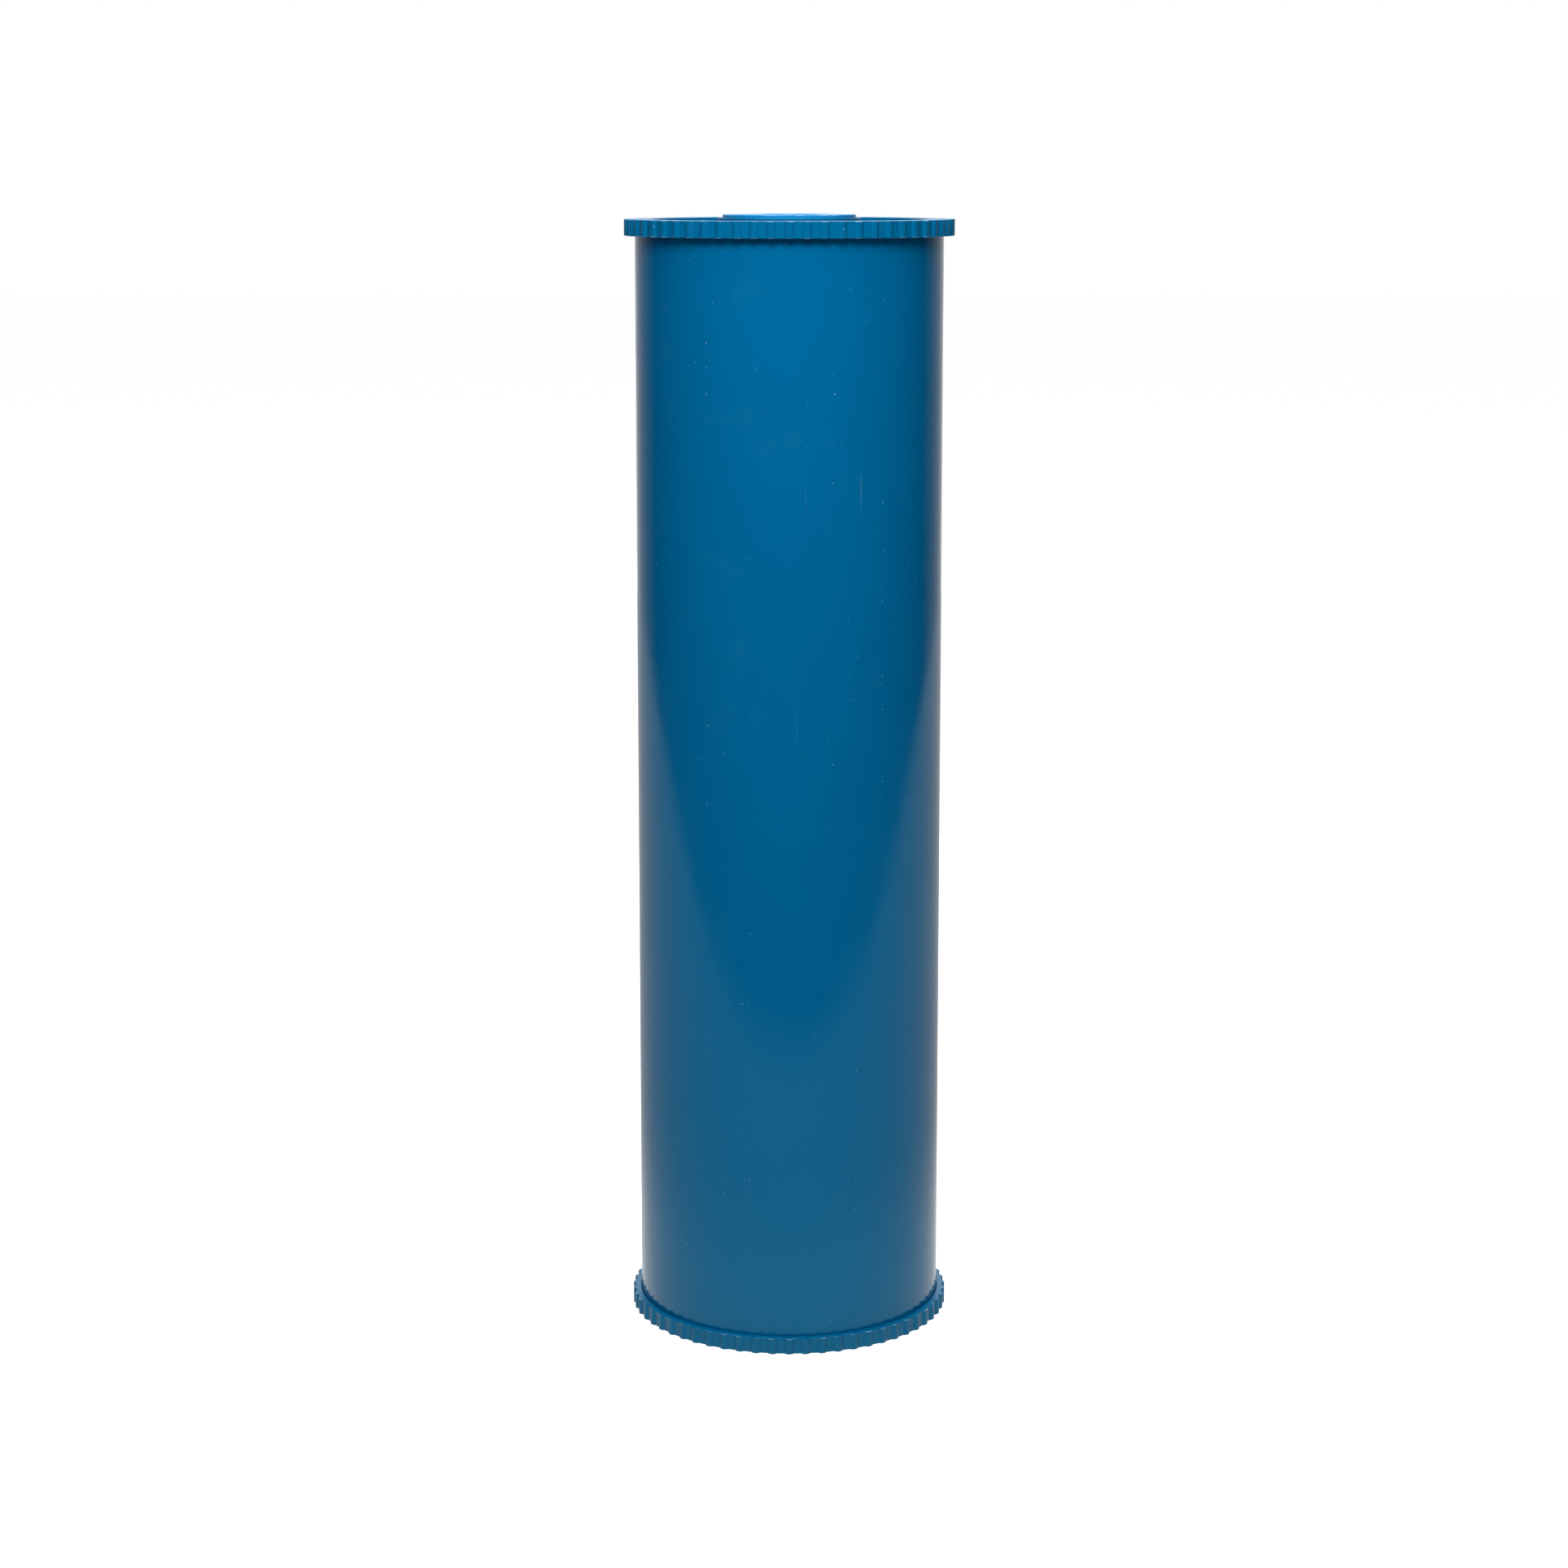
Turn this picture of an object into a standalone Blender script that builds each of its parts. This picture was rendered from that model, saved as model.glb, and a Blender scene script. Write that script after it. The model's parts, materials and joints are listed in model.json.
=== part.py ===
"""Blue drop-in filter cartridge: a plastic tube closed by two screw caps with fluted grip rims.

Water enters through slots in the bottom cap, rises through a felt pad and a bed of carbon
granules, and leaves through a screen and the sealed outlet hub of the top cap.

The rim face of the bottom cap lies on z = 0 and the tube stands along +Z. Each end of the
cartridge is modelled once, in an end frame whose z = 0 is that end's rim face and whose -Z
points into the tube. The top end frame is lifted to the top rim; the bottom one is turned over.
"""
import math

import bmesh
import bpy
from mathutils import Matrix

MM = 0.001

# Overall sizes.
RIM_TO_RIM = 249.8 * MM
TUBE_DIAMETER = 68.6 * MM
TUBE_WALL = 1.6 * MM

# Clearances between separate pieces.
REST_GAP = 0.3 * MM
SIDE_GAP = 0.3 * MM
JOIN_DEPTH = 0.3 * MM

# Grip rim of a cap.
RIM_HEIGHT = 3.6 * MM
RIM_WALL = 1.3 * MM
TOOTH_COUNT = 60
TOOTH_DEPTH = 0.6 * MM
TOOTH_SHARE = 0.52
TOOTH_CROWN_SHARE = 0.26
TOOTH_INSET = 0.15 * MM

# Cap body.
FLANGE_THICKNESS = 1.2 * MM
SEAL_THICKNESS = 0.8 * MM
RECESS_WALL = 1.4 * MM
RECESS_DEPTH = 7.0 * MM
WEB_THICKNESS = 2.0 * MM
PILOT_LENGTH = 0.4 * MM
PLUG_WALL = 1.6 * MM
PLUG_TIP = 0.8 * MM
LEDGE_WIDTH = 1.5 * MM
LEDGE_HEIGHT = 1.5 * MM
RIB_COUNT = 6
RIB_THICKNESS = 1.6 * MM
RIB_HEIGHT = 2.0 * MM

# Screw thread between each cap and the tube.
THREAD_PITCH = 4.0 * MM
THREAD_TURNS = 2.0
THREAD_HEIGHT = 1.2 * MM
THREAD_BASE = 1.5 * MM
THREAD_CREST = 0.7 * MM

# Outlet hub of the top cap, and its gasket.
OUTLET_BORE = 16.8 * MM
GASKET_DIAMETER = 29.4 * MM
GASKET_THICKNESS = 1.2 * MM
GASKET_STANDS_OUT = 0.7 * MM
HUB_LIP_WIDTH = 0.8 * MM
HUB_LIP_RISE = 0.3 * MM
HUB_FLANGE_THICKNESS = 1.7 * MM
HUB_NECK_WALL = 4.6 * MM

# Inlet side of the bottom cap.
SOCKET_BORE = 16.8 * MM
SOCKET_WALL = 2.6 * MM
SOCKET_SETBACK = 1.0 * MM
SLOT_COUNT = 12
SLOT_WIDTH = 2.6 * MM
SLOT_MARGIN = 2.0 * MM

# Stack held in each cap.
SCREEN_THICKNESS = 1.6 * MM
SCREEN_HOLE_DIAMETER = 5.2 * MM
SCREEN_EDGE = 5.5 * MM
SCREEN_RINGS = 2
SCREEN_HOLES_PER_RING = 6
MESH_THICKNESS = 0.4 * MM
PAD_THICKNESS = 5.0 * MM
RETAINER_THICKNESS = 0.8 * MM
RETAINER_WIDTH = 2.2 * MM
RETAINER_GROOVE_DEPTH = 0.7 * MM
RETAINER_SPLIT = 6.0 * MM
EXPANSION_PAD_THICKNESS = 10.0 * MM

# Facets around a turn.
TURN_STEPS = 48
THREAD_STEPS_PER_TURN = 40
HOLE_SIDES = 8
MERGE = 0.00001

# Radii and depths that follow from the sizes above. Depths are z in an end frame.
TUBE_RADIUS = TUBE_DIAMETER / 2
BORE_RADIUS = TUBE_RADIUS - TUBE_WALL
SKIRT_RADIUS = TUBE_RADIUS + SIDE_GAP
LAND_RADIUS = SKIRT_RADIUS + RIM_WALL
RIM_RADIUS = LAND_RADIUS + TOOTH_DEPTH
BAND_RADIUS = LAND_RADIUS - JOIN_DEPTH
PILOT_RADIUS = BORE_RADIUS - SIDE_GAP
RECESS_RADIUS = PILOT_RADIUS - RECESS_WALL
CREST_RADIUS = BORE_RADIUS - THREAD_HEIGHT
CORE_RADIUS = CREST_RADIUS - SIDE_GAP
PLUG_BORE_RADIUS = CORE_RADIUS - PLUG_WALL
LEDGE_RADIUS = PLUG_BORE_RADIUS - LEDGE_WIDTH
STACK_RADIUS = PLUG_BORE_RADIUS - SIDE_GAP
SCREEN_RING_STEP = (STACK_RADIUS - SCREEN_EDGE - SCREEN_HOLE_DIAMETER / 2) / SCREEN_RINGS
PASS_RADIUS = CREST_RADIUS - SIDE_GAP
OUTLET_RADIUS = OUTLET_BORE / 2
GASKET_RADIUS = GASKET_DIAMETER / 2
SEAT_RADIUS = GASKET_RADIUS + SIDE_GAP
HUB_RADIUS = SEAT_RADIUS + HUB_LIP_WIDTH
NECK_RADIUS = OUTLET_RADIUS + HUB_NECK_WALL
SOCKET_RADIUS = SOCKET_BORE / 2
SOCKET_OUTER_RADIUS = SOCKET_RADIUS + SOCKET_WALL

FLANGE_Z = -FLANGE_THICKNESS
SEAL_TOP_Z = FLANGE_Z - REST_GAP
SEAL_BOTTOM_Z = SEAL_TOP_Z - SEAL_THICKNESS
TUBE_END_Z = SEAL_BOTTOM_Z - REST_GAP
FLOOR_Z = -RECESS_DEPTH
WEB_Z = FLOOR_Z - WEB_THICKNESS
PILOT_Z = WEB_Z - PILOT_LENGTH
CORE_TOP_Z = PILOT_Z - (PILOT_RADIUS - CORE_RADIUS)
LEDGE_Z = WEB_Z - LEDGE_HEIGHT
SCREEN_TOP_Z = LEDGE_Z - REST_GAP
MESH_TOP_Z = SCREEN_TOP_Z - SCREEN_THICKNESS - REST_GAP
PAD_TOP_Z = MESH_TOP_Z - MESH_THICKNESS - REST_GAP
RETAINER_TOP_Z = PAD_TOP_Z - PAD_THICKNESS - REST_GAP
RETAINER_BOTTOM_Z = RETAINER_TOP_Z - RETAINER_THICKNESS
STACK_NEEDS_Z = RETAINER_BOTTOM_Z - REST_GAP - PLUG_TIP
THREAD_NEEDS_Z = CORE_TOP_Z - THREAD_TURNS * THREAD_PITCH - THREAD_BASE - REST_GAP
PLUG_END_Z = min(STACK_NEEDS_Z, THREAD_NEEDS_Z)
SEAT_Z = HUB_LIP_RISE + GASKET_STANDS_OUT - GASKET_THICKNESS - REST_GAP
GASKET_BOTTOM_Z = SEAT_Z + REST_GAP
HUB_UNDERSIDE_Z = HUB_LIP_RISE - HUB_FLANGE_THICKNESS
SOCKET_Z = -SOCKET_SETBACK
MALE_THREAD_Z = PLUG_END_Z + THREAD_BASE / 2 + REST_GAP
FEMALE_THREAD_Z = MALE_THREAD_Z - THREAD_PITCH / 2
THREAD_END_Z = FEMALE_THREAD_Z - THREAD_BASE / 2 - REST_GAP
FILL_Z = PLUG_END_Z - REST_GAP


# ---------------------------------------------------------------- scene and materials

def clear_scene():
    for old in list(bpy.data.objects):
        bpy.data.objects.remove(old)


def new_collection(name):
    group = bpy.data.collections.new(name)
    bpy.context.scene.collection.children.link(group)
    return group


def plastic(name, colour, roughness):
    finish = bpy.data.materials.new(name)
    finish.use_nodes = True
    shader = finish.node_tree.nodes["Principled BSDF"]
    shader.inputs["Base Color"].default_value = (*colour, 1.0)
    shader.inputs["Roughness"].default_value = roughness
    shader.inputs["Metallic"].default_value = 0.0
    return finish


def end_frame(name, height, turned_over):
    """An empty on the cartridge's axis at one rim face; its -Z points into the tube."""
    empty = bpy.data.objects.new(name, None)
    empty.location = (0.0, 0.0, height)
    empty.rotation_euler = (math.pi if turned_over else 0.0, 0.0, 0.0)
    PARTS.objects.link(empty)
    return empty


# ---------------------------------------------------------------- making shapes

def add_part(name, mesh, finish, parent=None):
    part = bpy.data.objects.new(name, mesh)
    mesh.materials.append(finish)
    part.parent = parent
    PARTS.objects.link(part)
    return part


def add_cutter(name, mesh, parent=None):
    cutter = bpy.data.objects.new(name, mesh)
    cutter.parent = parent
    cutter.hide_render = True
    cutter.display_type = "WIRE"
    CUTTERS.objects.link(cutter)
    return cutter


def combine(part, tool, operation):
    step = part.modifiers.new(f"{operation.lower()}_{tool.name}", "BOOLEAN")
    step.operation = operation
    step.solver = "EXACT"
    step.object = tool


def profile_mesh(name, points, closed):
    """Edges through (radius, z) points in the XZ plane, ready to be turned about Z."""
    count = len(points)
    edges = [(i, i + 1) for i in range(count - 1)]
    if closed:
        edges.append((count - 1, 0))
    mesh = bpy.data.meshes.new(name)
    mesh.from_pydata([(radius, 0.0, z) for radius, z in points], edges, [])
    return mesh


def turned(name, points, finish, parent=None):
    """A turned piece. A profile that starts and ends on the axis is open, any other closed."""
    on_axis = points[0][0] == 0.0
    part = add_part(name, profile_mesh(name, points, not on_axis), finish, parent)
    turn = part.modifiers.new("turn", "SCREW")
    turn.steps = TURN_STEPS
    turn.render_steps = TURN_STEPS
    turn.use_merge_vertices = True
    turn.merge_threshold = MERGE
    turn.use_smooth_shade = False
    return part


def ring_profile(outer, inner, top, bottom):
    return [(outer, top), (outer, bottom), (inner, bottom), (inner, top)]


def disc_profile(radius, top, bottom):
    return [(0.0, top), (radius, top), (radius, bottom), (0.0, bottom)]


def tooth_outline():
    """Outline of the grip rim: raised teeth with sloped flanks, evenly spread on a circle."""
    pitch = 2 * math.pi / TOOTH_COUNT
    corners = (
        (-TOOTH_SHARE / 2, LAND_RADIUS),
        (-TOOTH_CROWN_SHARE / 2, RIM_RADIUS),
        (TOOTH_CROWN_SHARE / 2, RIM_RADIUS),
        (TOOTH_SHARE / 2, LAND_RADIUS),
    )
    outline = []
    for tooth in range(TOOTH_COUNT):
        for share, radius in corners:
            angle = (tooth + share) * pitch
            outline.append((radius * math.cos(angle), radius * math.sin(angle)))
    return outline


def circle_outline(radius, sides):
    step = 2 * math.pi / sides
    return [(radius * math.cos(i * step), radius * math.sin(i * step)) for i in range(sides)]


def add_loop(curve, outline):
    spline = curve.splines.new("POLY")
    spline.points.add(len(outline) - 1)
    for point, (x, y) in zip(spline.points, outline):
        point.co = (x, y, 0.0, 1.0)
    spline.use_cyclic_u = True


def grip_band(name, parent):
    """The toothed band around a cap: a flat outline with a round hole, given its height."""
    curve = bpy.data.curves.new(name, "CURVE")
    curve.dimensions = "2D"
    curve.fill_mode = "BOTH"
    curve.extrude = RIM_HEIGHT / 2 - TOOTH_INSET
    add_loop(curve, tooth_outline())
    add_loop(curve, circle_outline(BAND_RADIUS - JOIN_DEPTH, TURN_STEPS))
    outline = bpy.data.objects.new(name + "_outline", curve)
    CUTTERS.objects.link(outline)
    bpy.context.view_layer.update()
    solid = outline.evaluated_get(bpy.context.evaluated_depsgraph_get())
    mesh = bpy.data.meshes.new_from_object(solid)
    bpy.data.objects.remove(outline)
    shape = bmesh.new()
    shape.from_mesh(mesh)
    bmesh.ops.remove_doubles(shape, verts=shape.verts, dist=MERGE)
    bmesh.ops.recalc_face_normals(shape, faces=shape.faces)
    bmesh.ops.translate(shape, verts=shape.verts, vec=(0.0, 0.0, -RIM_HEIGHT / 2))
    shape.to_mesh(mesh)
    shape.free()
    return add_cutter(name, mesh, parent)


def thread_ridge(name, root, crest, start, parent):
    """A right-hand ridge: its section climbs one pitch for each turn, and its ends are closed."""
    base = THREAD_BASE / 2
    tip = THREAD_CREST / 2
    section = [(root, start + base), (crest, start + tip), (crest, start - tip), (root, start - base)]
    guide = bpy.data.objects.new(name + "_guide", profile_mesh(name, section, True))
    CUTTERS.objects.link(guide)
    turn = guide.modifiers.new("turn", "SCREW")
    turn.angle = 2 * math.pi * THREAD_TURNS
    turn.screw_offset = THREAD_PITCH * THREAD_TURNS
    turn.steps = round(THREAD_STEPS_PER_TURN * THREAD_TURNS)
    turn.render_steps = turn.steps
    turn.use_merge_vertices = False
    bpy.context.view_layer.update()
    solid = guide.evaluated_get(bpy.context.evaluated_depsgraph_get())
    mesh = bpy.data.meshes.new_from_object(solid)
    bpy.data.objects.remove(guide)
    shape = bmesh.new()
    shape.from_mesh(mesh)
    bmesh.ops.holes_fill(shape, edges=[edge for edge in shape.edges if edge.is_boundary], sides=4)
    bmesh.ops.recalc_face_normals(shape, faces=shape.faces)
    shape.to_mesh(mesh)
    shape.free()
    return add_cutter(name, mesh, parent)


def radial_blocks(name, count, first_angle, inner, outer, width, top, bottom, parent):
    """Blocks that point outward from the axis, spread evenly round a circle."""
    shape = bmesh.new()
    for index in range(count):
        angle = first_angle + index * 2 * math.pi / count
        made = bmesh.ops.create_cube(shape, size=1.0)["verts"]
        bmesh.ops.scale(shape, verts=made, vec=(outer - inner, width, top - bottom))
        bmesh.ops.translate(shape, verts=made, vec=((inner + outer) / 2, 0.0, (top + bottom) / 2))
        turn = (
            (math.cos(angle), -math.sin(angle), 0.0),
            (math.sin(angle), math.cos(angle), 0.0),
            (0.0, 0.0, 1.0),
        )
        bmesh.ops.transform(shape, verts=made, matrix=Matrix(turn).to_4x4())
    mesh = bpy.data.meshes.new(name)
    shape.to_mesh(mesh)
    shape.free()
    return add_cutter(name, mesh, parent)


def screen_holes(name, parent):
    """Round holes: one on the axis, then rings that each hold one more set of holes."""
    centres = [(0.0, 0.0)]
    for ring in range(1, SCREEN_RINGS + 1):
        centres += circle_outline(ring * SCREEN_RING_STEP, ring * SCREEN_HOLES_PER_RING)
    shape = bmesh.new()
    for x, y in centres:
        made = bmesh.ops.create_cone(
            shape,
            cap_ends=True,
            segments=HOLE_SIDES,
            radius1=SCREEN_HOLE_DIAMETER / 2,
            radius2=SCREEN_HOLE_DIAMETER / 2,
            depth=SCREEN_THICKNESS + 2 * REST_GAP,
        )["verts"]
        bmesh.ops.translate(shape, verts=made, vec=(x, y, SCREEN_TOP_Z - SCREEN_THICKNESS / 2))
    mesh = bpy.data.meshes.new(name)
    shape.to_mesh(mesh)
    shape.free()
    return add_cutter(name, mesh, parent)


# ---------------------------------------------------------------- the pieces

def cap_outside():
    """Profile points shared by both caps: from the rim face, down the outside, to the web's underside."""
    groove_radius = PLUG_BORE_RADIUS + RETAINER_GROOVE_DEPTH
    groove_top = RETAINER_TOP_Z + REST_GAP
    groove_bottom = RETAINER_BOTTOM_Z - REST_GAP
    return [
        (BAND_RADIUS, 0.0),
        (BAND_RADIUS, -RIM_HEIGHT),
        (SKIRT_RADIUS, -RIM_HEIGHT),
        (SKIRT_RADIUS, FLANGE_Z),
        (PILOT_RADIUS, FLANGE_Z),
        (PILOT_RADIUS, PILOT_Z),
        (CORE_RADIUS, CORE_TOP_Z),
        (CORE_RADIUS, PLUG_END_Z),
        (PLUG_BORE_RADIUS, PLUG_END_Z),
        (PLUG_BORE_RADIUS, groove_bottom),
        (groove_radius, groove_bottom),
        (groove_radius, groove_top),
        (PLUG_BORE_RADIUS, groove_top),
        (PLUG_BORE_RADIUS, LEDGE_Z),
        (LEDGE_RADIUS, LEDGE_Z),
        (LEDGE_RADIUS, WEB_Z),
    ]


def outlet_hub():
    """Profile points of the top cap's middle: outlet bore, gasket seat, lip and neck."""
    return [
        (OUTLET_RADIUS, WEB_Z),
        (OUTLET_RADIUS, SEAT_Z),
        (SEAT_RADIUS, SEAT_Z),
        (SEAT_RADIUS, HUB_LIP_RISE),
        (HUB_RADIUS, HUB_LIP_RISE),
        (HUB_RADIUS, HUB_UNDERSIDE_Z),
        (NECK_RADIUS, HUB_UNDERSIDE_Z),
        (NECK_RADIUS, FLOOR_Z),
        (RECESS_RADIUS, FLOOR_Z),
        (RECESS_RADIUS, 0.0),
    ]


def inlet_middle():
    """Profile points of the bottom cap's middle, from the axis outward: blind socket and recess."""
    return [
        (0.0, FLOOR_Z),
        (SOCKET_RADIUS, FLOOR_Z),
        (SOCKET_RADIUS, SOCKET_Z),
        (SOCKET_OUTER_RADIUS, SOCKET_Z),
        (SOCKET_OUTER_RADIUS, FLOOR_Z),
        (RECESS_RADIUS, FLOOR_Z),
        (RECESS_RADIUS, 0.0),
    ]


def finish_cap(cap, end, frame):
    """Adds the grip teeth and the outside thread that both caps have."""
    combine(cap, grip_band(f"{end}_grip_band", frame), "UNION")
    root = CORE_RADIUS - JOIN_DEPTH
    crest = CORE_RADIUS + THREAD_HEIGHT
    combine(cap, thread_ridge(f"{end}_cap_thread", root, crest, MALE_THREAD_Z, frame), "UNION")


def make_top_cap(frame):
    cap = turned("top_cap", cap_outside() + outlet_hub(), BLUE_CAP, frame)
    inner = NECK_RADIUS - JOIN_DEPTH
    outer = RECESS_RADIUS + JOIN_DEPTH
    top = FLOOR_Z + RIB_HEIGHT
    bottom = FLOOR_Z - JOIN_DEPTH
    ribs = radial_blocks("recess_ribs", RIB_COUNT, 0.0, inner, outer, RIB_THICKNESS, top, bottom, frame)
    combine(cap, ribs, "UNION")
    finish_cap(cap, "top", frame)


def make_bottom_cap(frame):
    axis_end = [(0.0, WEB_Z)]
    cap = turned("bottom_cap", inlet_middle() + cap_outside() + axis_end, BLUE_CAP, frame)
    finish_cap(cap, "bottom", frame)
    inner = SOCKET_OUTER_RADIUS + SLOT_MARGIN
    outer = LEDGE_RADIUS - SLOT_MARGIN
    top = FLOOR_Z + WEB_THICKNESS / 2
    bottom = WEB_Z - WEB_THICKNESS / 4
    slots = radial_blocks("inlet_slots", SLOT_COUNT, 0.0, inner, outer, SLOT_WIDTH, top, bottom, frame)
    combine(cap, slots, "DIFFERENCE")


def make_shell(top_frame, bottom_frame):
    top = RIM_TO_RIM + TUBE_END_Z
    bottom = -TUBE_END_Z
    shell = turned("shell_tube", ring_profile(TUBE_RADIUS, BORE_RADIUS, top, bottom), BLUE_TUBE)
    root = BORE_RADIUS + JOIN_DEPTH
    for end, frame in (("top", top_frame), ("bottom", bottom_frame)):
        ridge = thread_ridge(f"{end}_tube_thread", root, CREST_RADIUS, FEMALE_THREAD_Z, frame)
        combine(shell, ridge, "UNION")


def make_outlet_gasket(frame):
    top = GASKET_BOTTOM_Z + GASKET_THICKNESS
    turned("outlet_gasket", ring_profile(GASKET_RADIUS, OUTLET_RADIUS, top, GASKET_BOTTOM_Z), BLUE_RUBBER, frame)


def make_shell_seal(name, frame):
    turned(name, ring_profile(TUBE_RADIUS, BORE_RADIUS, SEAL_TOP_Z, SEAL_BOTTOM_Z), BLACK_RUBBER, frame)


def make_screen(name, frame):
    profile = disc_profile(STACK_RADIUS, SCREEN_TOP_Z, SCREEN_TOP_Z - SCREEN_THICKNESS)
    screen = turned(name, profile, WHITE_PLASTIC, frame)
    combine(screen, screen_holes(name + "_holes", frame), "DIFFERENCE")


def make_mesh_disc(name, frame):
    turned(name, disc_profile(STACK_RADIUS, MESH_TOP_Z, MESH_TOP_Z - MESH_THICKNESS), MESH_CLOTH, frame)


def make_pad(name, frame):
    turned(name, disc_profile(STACK_RADIUS, PAD_TOP_Z, PAD_TOP_Z - PAD_THICKNESS), WHITE_FELT, frame)


def make_retainer(name, frame):
    """A split ring that springs into a groove in the plug and holds the pad in the cap."""
    outer = PLUG_BORE_RADIUS + RETAINER_GROOVE_DEPTH - SIDE_GAP
    profile = ring_profile(outer, outer - RETAINER_WIDTH, RETAINER_TOP_Z, RETAINER_BOTTOM_Z)
    ring = turned(name, profile, WHITE_PLASTIC, frame)
    inner = outer - RETAINER_WIDTH - REST_GAP
    top = RETAINER_TOP_Z + REST_GAP
    bottom = RETAINER_BOTTOM_Z - REST_GAP
    first = math.pi / TURN_STEPS
    split = radial_blocks(
        name + "_split", 1, first, inner, outer + REST_GAP, RETAINER_SPLIT, top, bottom, frame
    )
    combine(ring, split, "DIFFERENCE")


def make_filling():
    """The carbon bed fills the tube between the two threads, with a foam pad pressed on its top."""
    pad_top = RIM_TO_RIM + FILL_Z
    pad_bottom = pad_top - EXPANSION_PAD_THICKNESS
    turned("expansion_pad", disc_profile(PASS_RADIUS, pad_top, pad_bottom), GREY_FOAM)
    bed_top = pad_bottom - REST_GAP
    bed_step = -THREAD_END_Z
    bed_bottom = -FILL_Z
    bed = [
        (0.0, bed_top),
        (PILOT_RADIUS, bed_top),
        (PILOT_RADIUS, bed_step),
        (PASS_RADIUS, bed_step),
        (PASS_RADIUS, bed_bottom),
        (0.0, bed_bottom),
    ]
    turned("carbon_bed", bed, CARBON)


clear_scene()
PARTS = new_collection("filter_cartridge")
CUTTERS = new_collection("cutters")

BLUE_TUBE = plastic("blue_tube", (0.002, 0.115, 0.300), 0.38)
BLUE_CAP = plastic("blue_cap", (0.002, 0.150, 0.340), 0.42)
BLUE_RUBBER = plastic("blue_rubber", (0.010, 0.250, 0.560), 0.50)
BLACK_RUBBER = plastic("black_rubber", (0.015, 0.015, 0.017), 0.60)
WHITE_PLASTIC = plastic("white_plastic", (0.780, 0.780, 0.760), 0.45)
WHITE_FELT = plastic("white_felt", (0.820, 0.810, 0.780), 0.95)
MESH_CLOTH = plastic("mesh_cloth", (0.700, 0.710, 0.720), 0.70)
GREY_FOAM = plastic("grey_foam", (0.180, 0.185, 0.190), 0.95)
CARBON = plastic("carbon", (0.012, 0.012, 0.013), 0.85)

TOP = end_frame("top_end", RIM_TO_RIM, False)
BOTTOM = end_frame("bottom_end", 0.0, True)

make_shell(TOP, BOTTOM)
make_top_cap(TOP)
make_bottom_cap(BOTTOM)
make_outlet_gasket(TOP)
make_shell_seal("top_shell_seal", TOP)
make_shell_seal("bottom_shell_seal", BOTTOM)
make_screen("outlet_screen", TOP)
make_screen("inlet_screen", BOTTOM)
make_mesh_disc("outlet_mesh", TOP)
make_mesh_disc("inlet_mesh", BOTTOM)
make_pad("post_filter_pad", TOP)
make_pad("inlet_filter_pad", BOTTOM)
make_retainer("outlet_retainer", TOP)
make_retainer("inlet_retainer", BOTTOM)
make_filling()
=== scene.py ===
"""Looks of a blue drop-in filter cartridge: a satin tube between two screw caps with fluted rims.

Every new piece is a surface worked out as whole arrays and put where the frame says. Lengths are
metres. Patterns in the materials are read from Object coordinates.
"""
import json
import math

import bmesh
import bpy
import numpy as np
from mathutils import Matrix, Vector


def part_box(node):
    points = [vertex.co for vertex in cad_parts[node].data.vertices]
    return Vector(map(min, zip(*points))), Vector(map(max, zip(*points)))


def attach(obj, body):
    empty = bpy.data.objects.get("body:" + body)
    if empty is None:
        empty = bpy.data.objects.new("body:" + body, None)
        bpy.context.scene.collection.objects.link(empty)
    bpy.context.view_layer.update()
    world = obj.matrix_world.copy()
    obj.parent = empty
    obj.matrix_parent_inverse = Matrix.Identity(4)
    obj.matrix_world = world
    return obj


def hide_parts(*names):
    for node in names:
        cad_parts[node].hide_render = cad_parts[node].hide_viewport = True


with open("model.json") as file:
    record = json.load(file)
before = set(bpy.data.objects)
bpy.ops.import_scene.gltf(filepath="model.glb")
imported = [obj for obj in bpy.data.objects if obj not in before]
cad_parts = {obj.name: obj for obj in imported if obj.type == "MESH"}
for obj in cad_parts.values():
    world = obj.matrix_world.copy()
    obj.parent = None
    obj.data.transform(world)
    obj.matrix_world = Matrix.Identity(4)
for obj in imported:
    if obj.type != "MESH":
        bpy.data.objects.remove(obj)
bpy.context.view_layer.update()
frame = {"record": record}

MM = 0.001
TURN = 2 * math.pi


def mount_height(name):
    """Height of one of the record's mounts."""
    return next(m["pos_m"][2] for m in frame["record"]["mounts"] if m["name"] == name)


# Sizes read from the frame.
TUBE_LOW, TUBE_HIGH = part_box("shell_tube")
CAP_LOW, CAP_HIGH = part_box("top_cap")
GASKET_LOW, GASKET_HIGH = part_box("outlet_gasket")
RETAINER_LOW, RETAINER_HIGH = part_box("outlet_retainer")
RIM_Z = mount_height("top_rim_face")
RIM_RADIUS = CAP_HIGH.x
TUBE_RADIUS = TUBE_HIGH.x
GASKET_RADIUS = GASKET_HIGH.x
STACK_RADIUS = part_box("outlet_screen")[1].x
FOAM_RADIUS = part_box("expansion_pad")[1].x

# Sizes of the caps and threads. Heights are below (or above) a cap's own rim face.
GAP = 0.3 * MM
TUBE_WALL = 1.6 * MM
BORE_RADIUS = TUBE_RADIUS - TUBE_WALL
RIM_HEIGHT = 3.6 * MM
TOOTH_COUNT = 60
TOOTH_DEPTH = 0.6 * MM
TOOTH_HALF_SHARE = 0.27
RIM_FILLET = 0.14 * MM
TUBE_DRAFT = 0.2 * MM
LAND_RADIUS = RIM_RADIUS - TOOTH_DEPTH
SKIRT_RADIUS = TUBE_RADIUS + GAP
FLANGE = 1.2 * MM
PILOT_RADIUS = BORE_RADIUS - GAP
RECESS_RADIUS = PILOT_RADIUS - 1.4 * MM
RECESS_DEPTH = 7.0 * MM
WEB = 2.0 * MM
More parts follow.
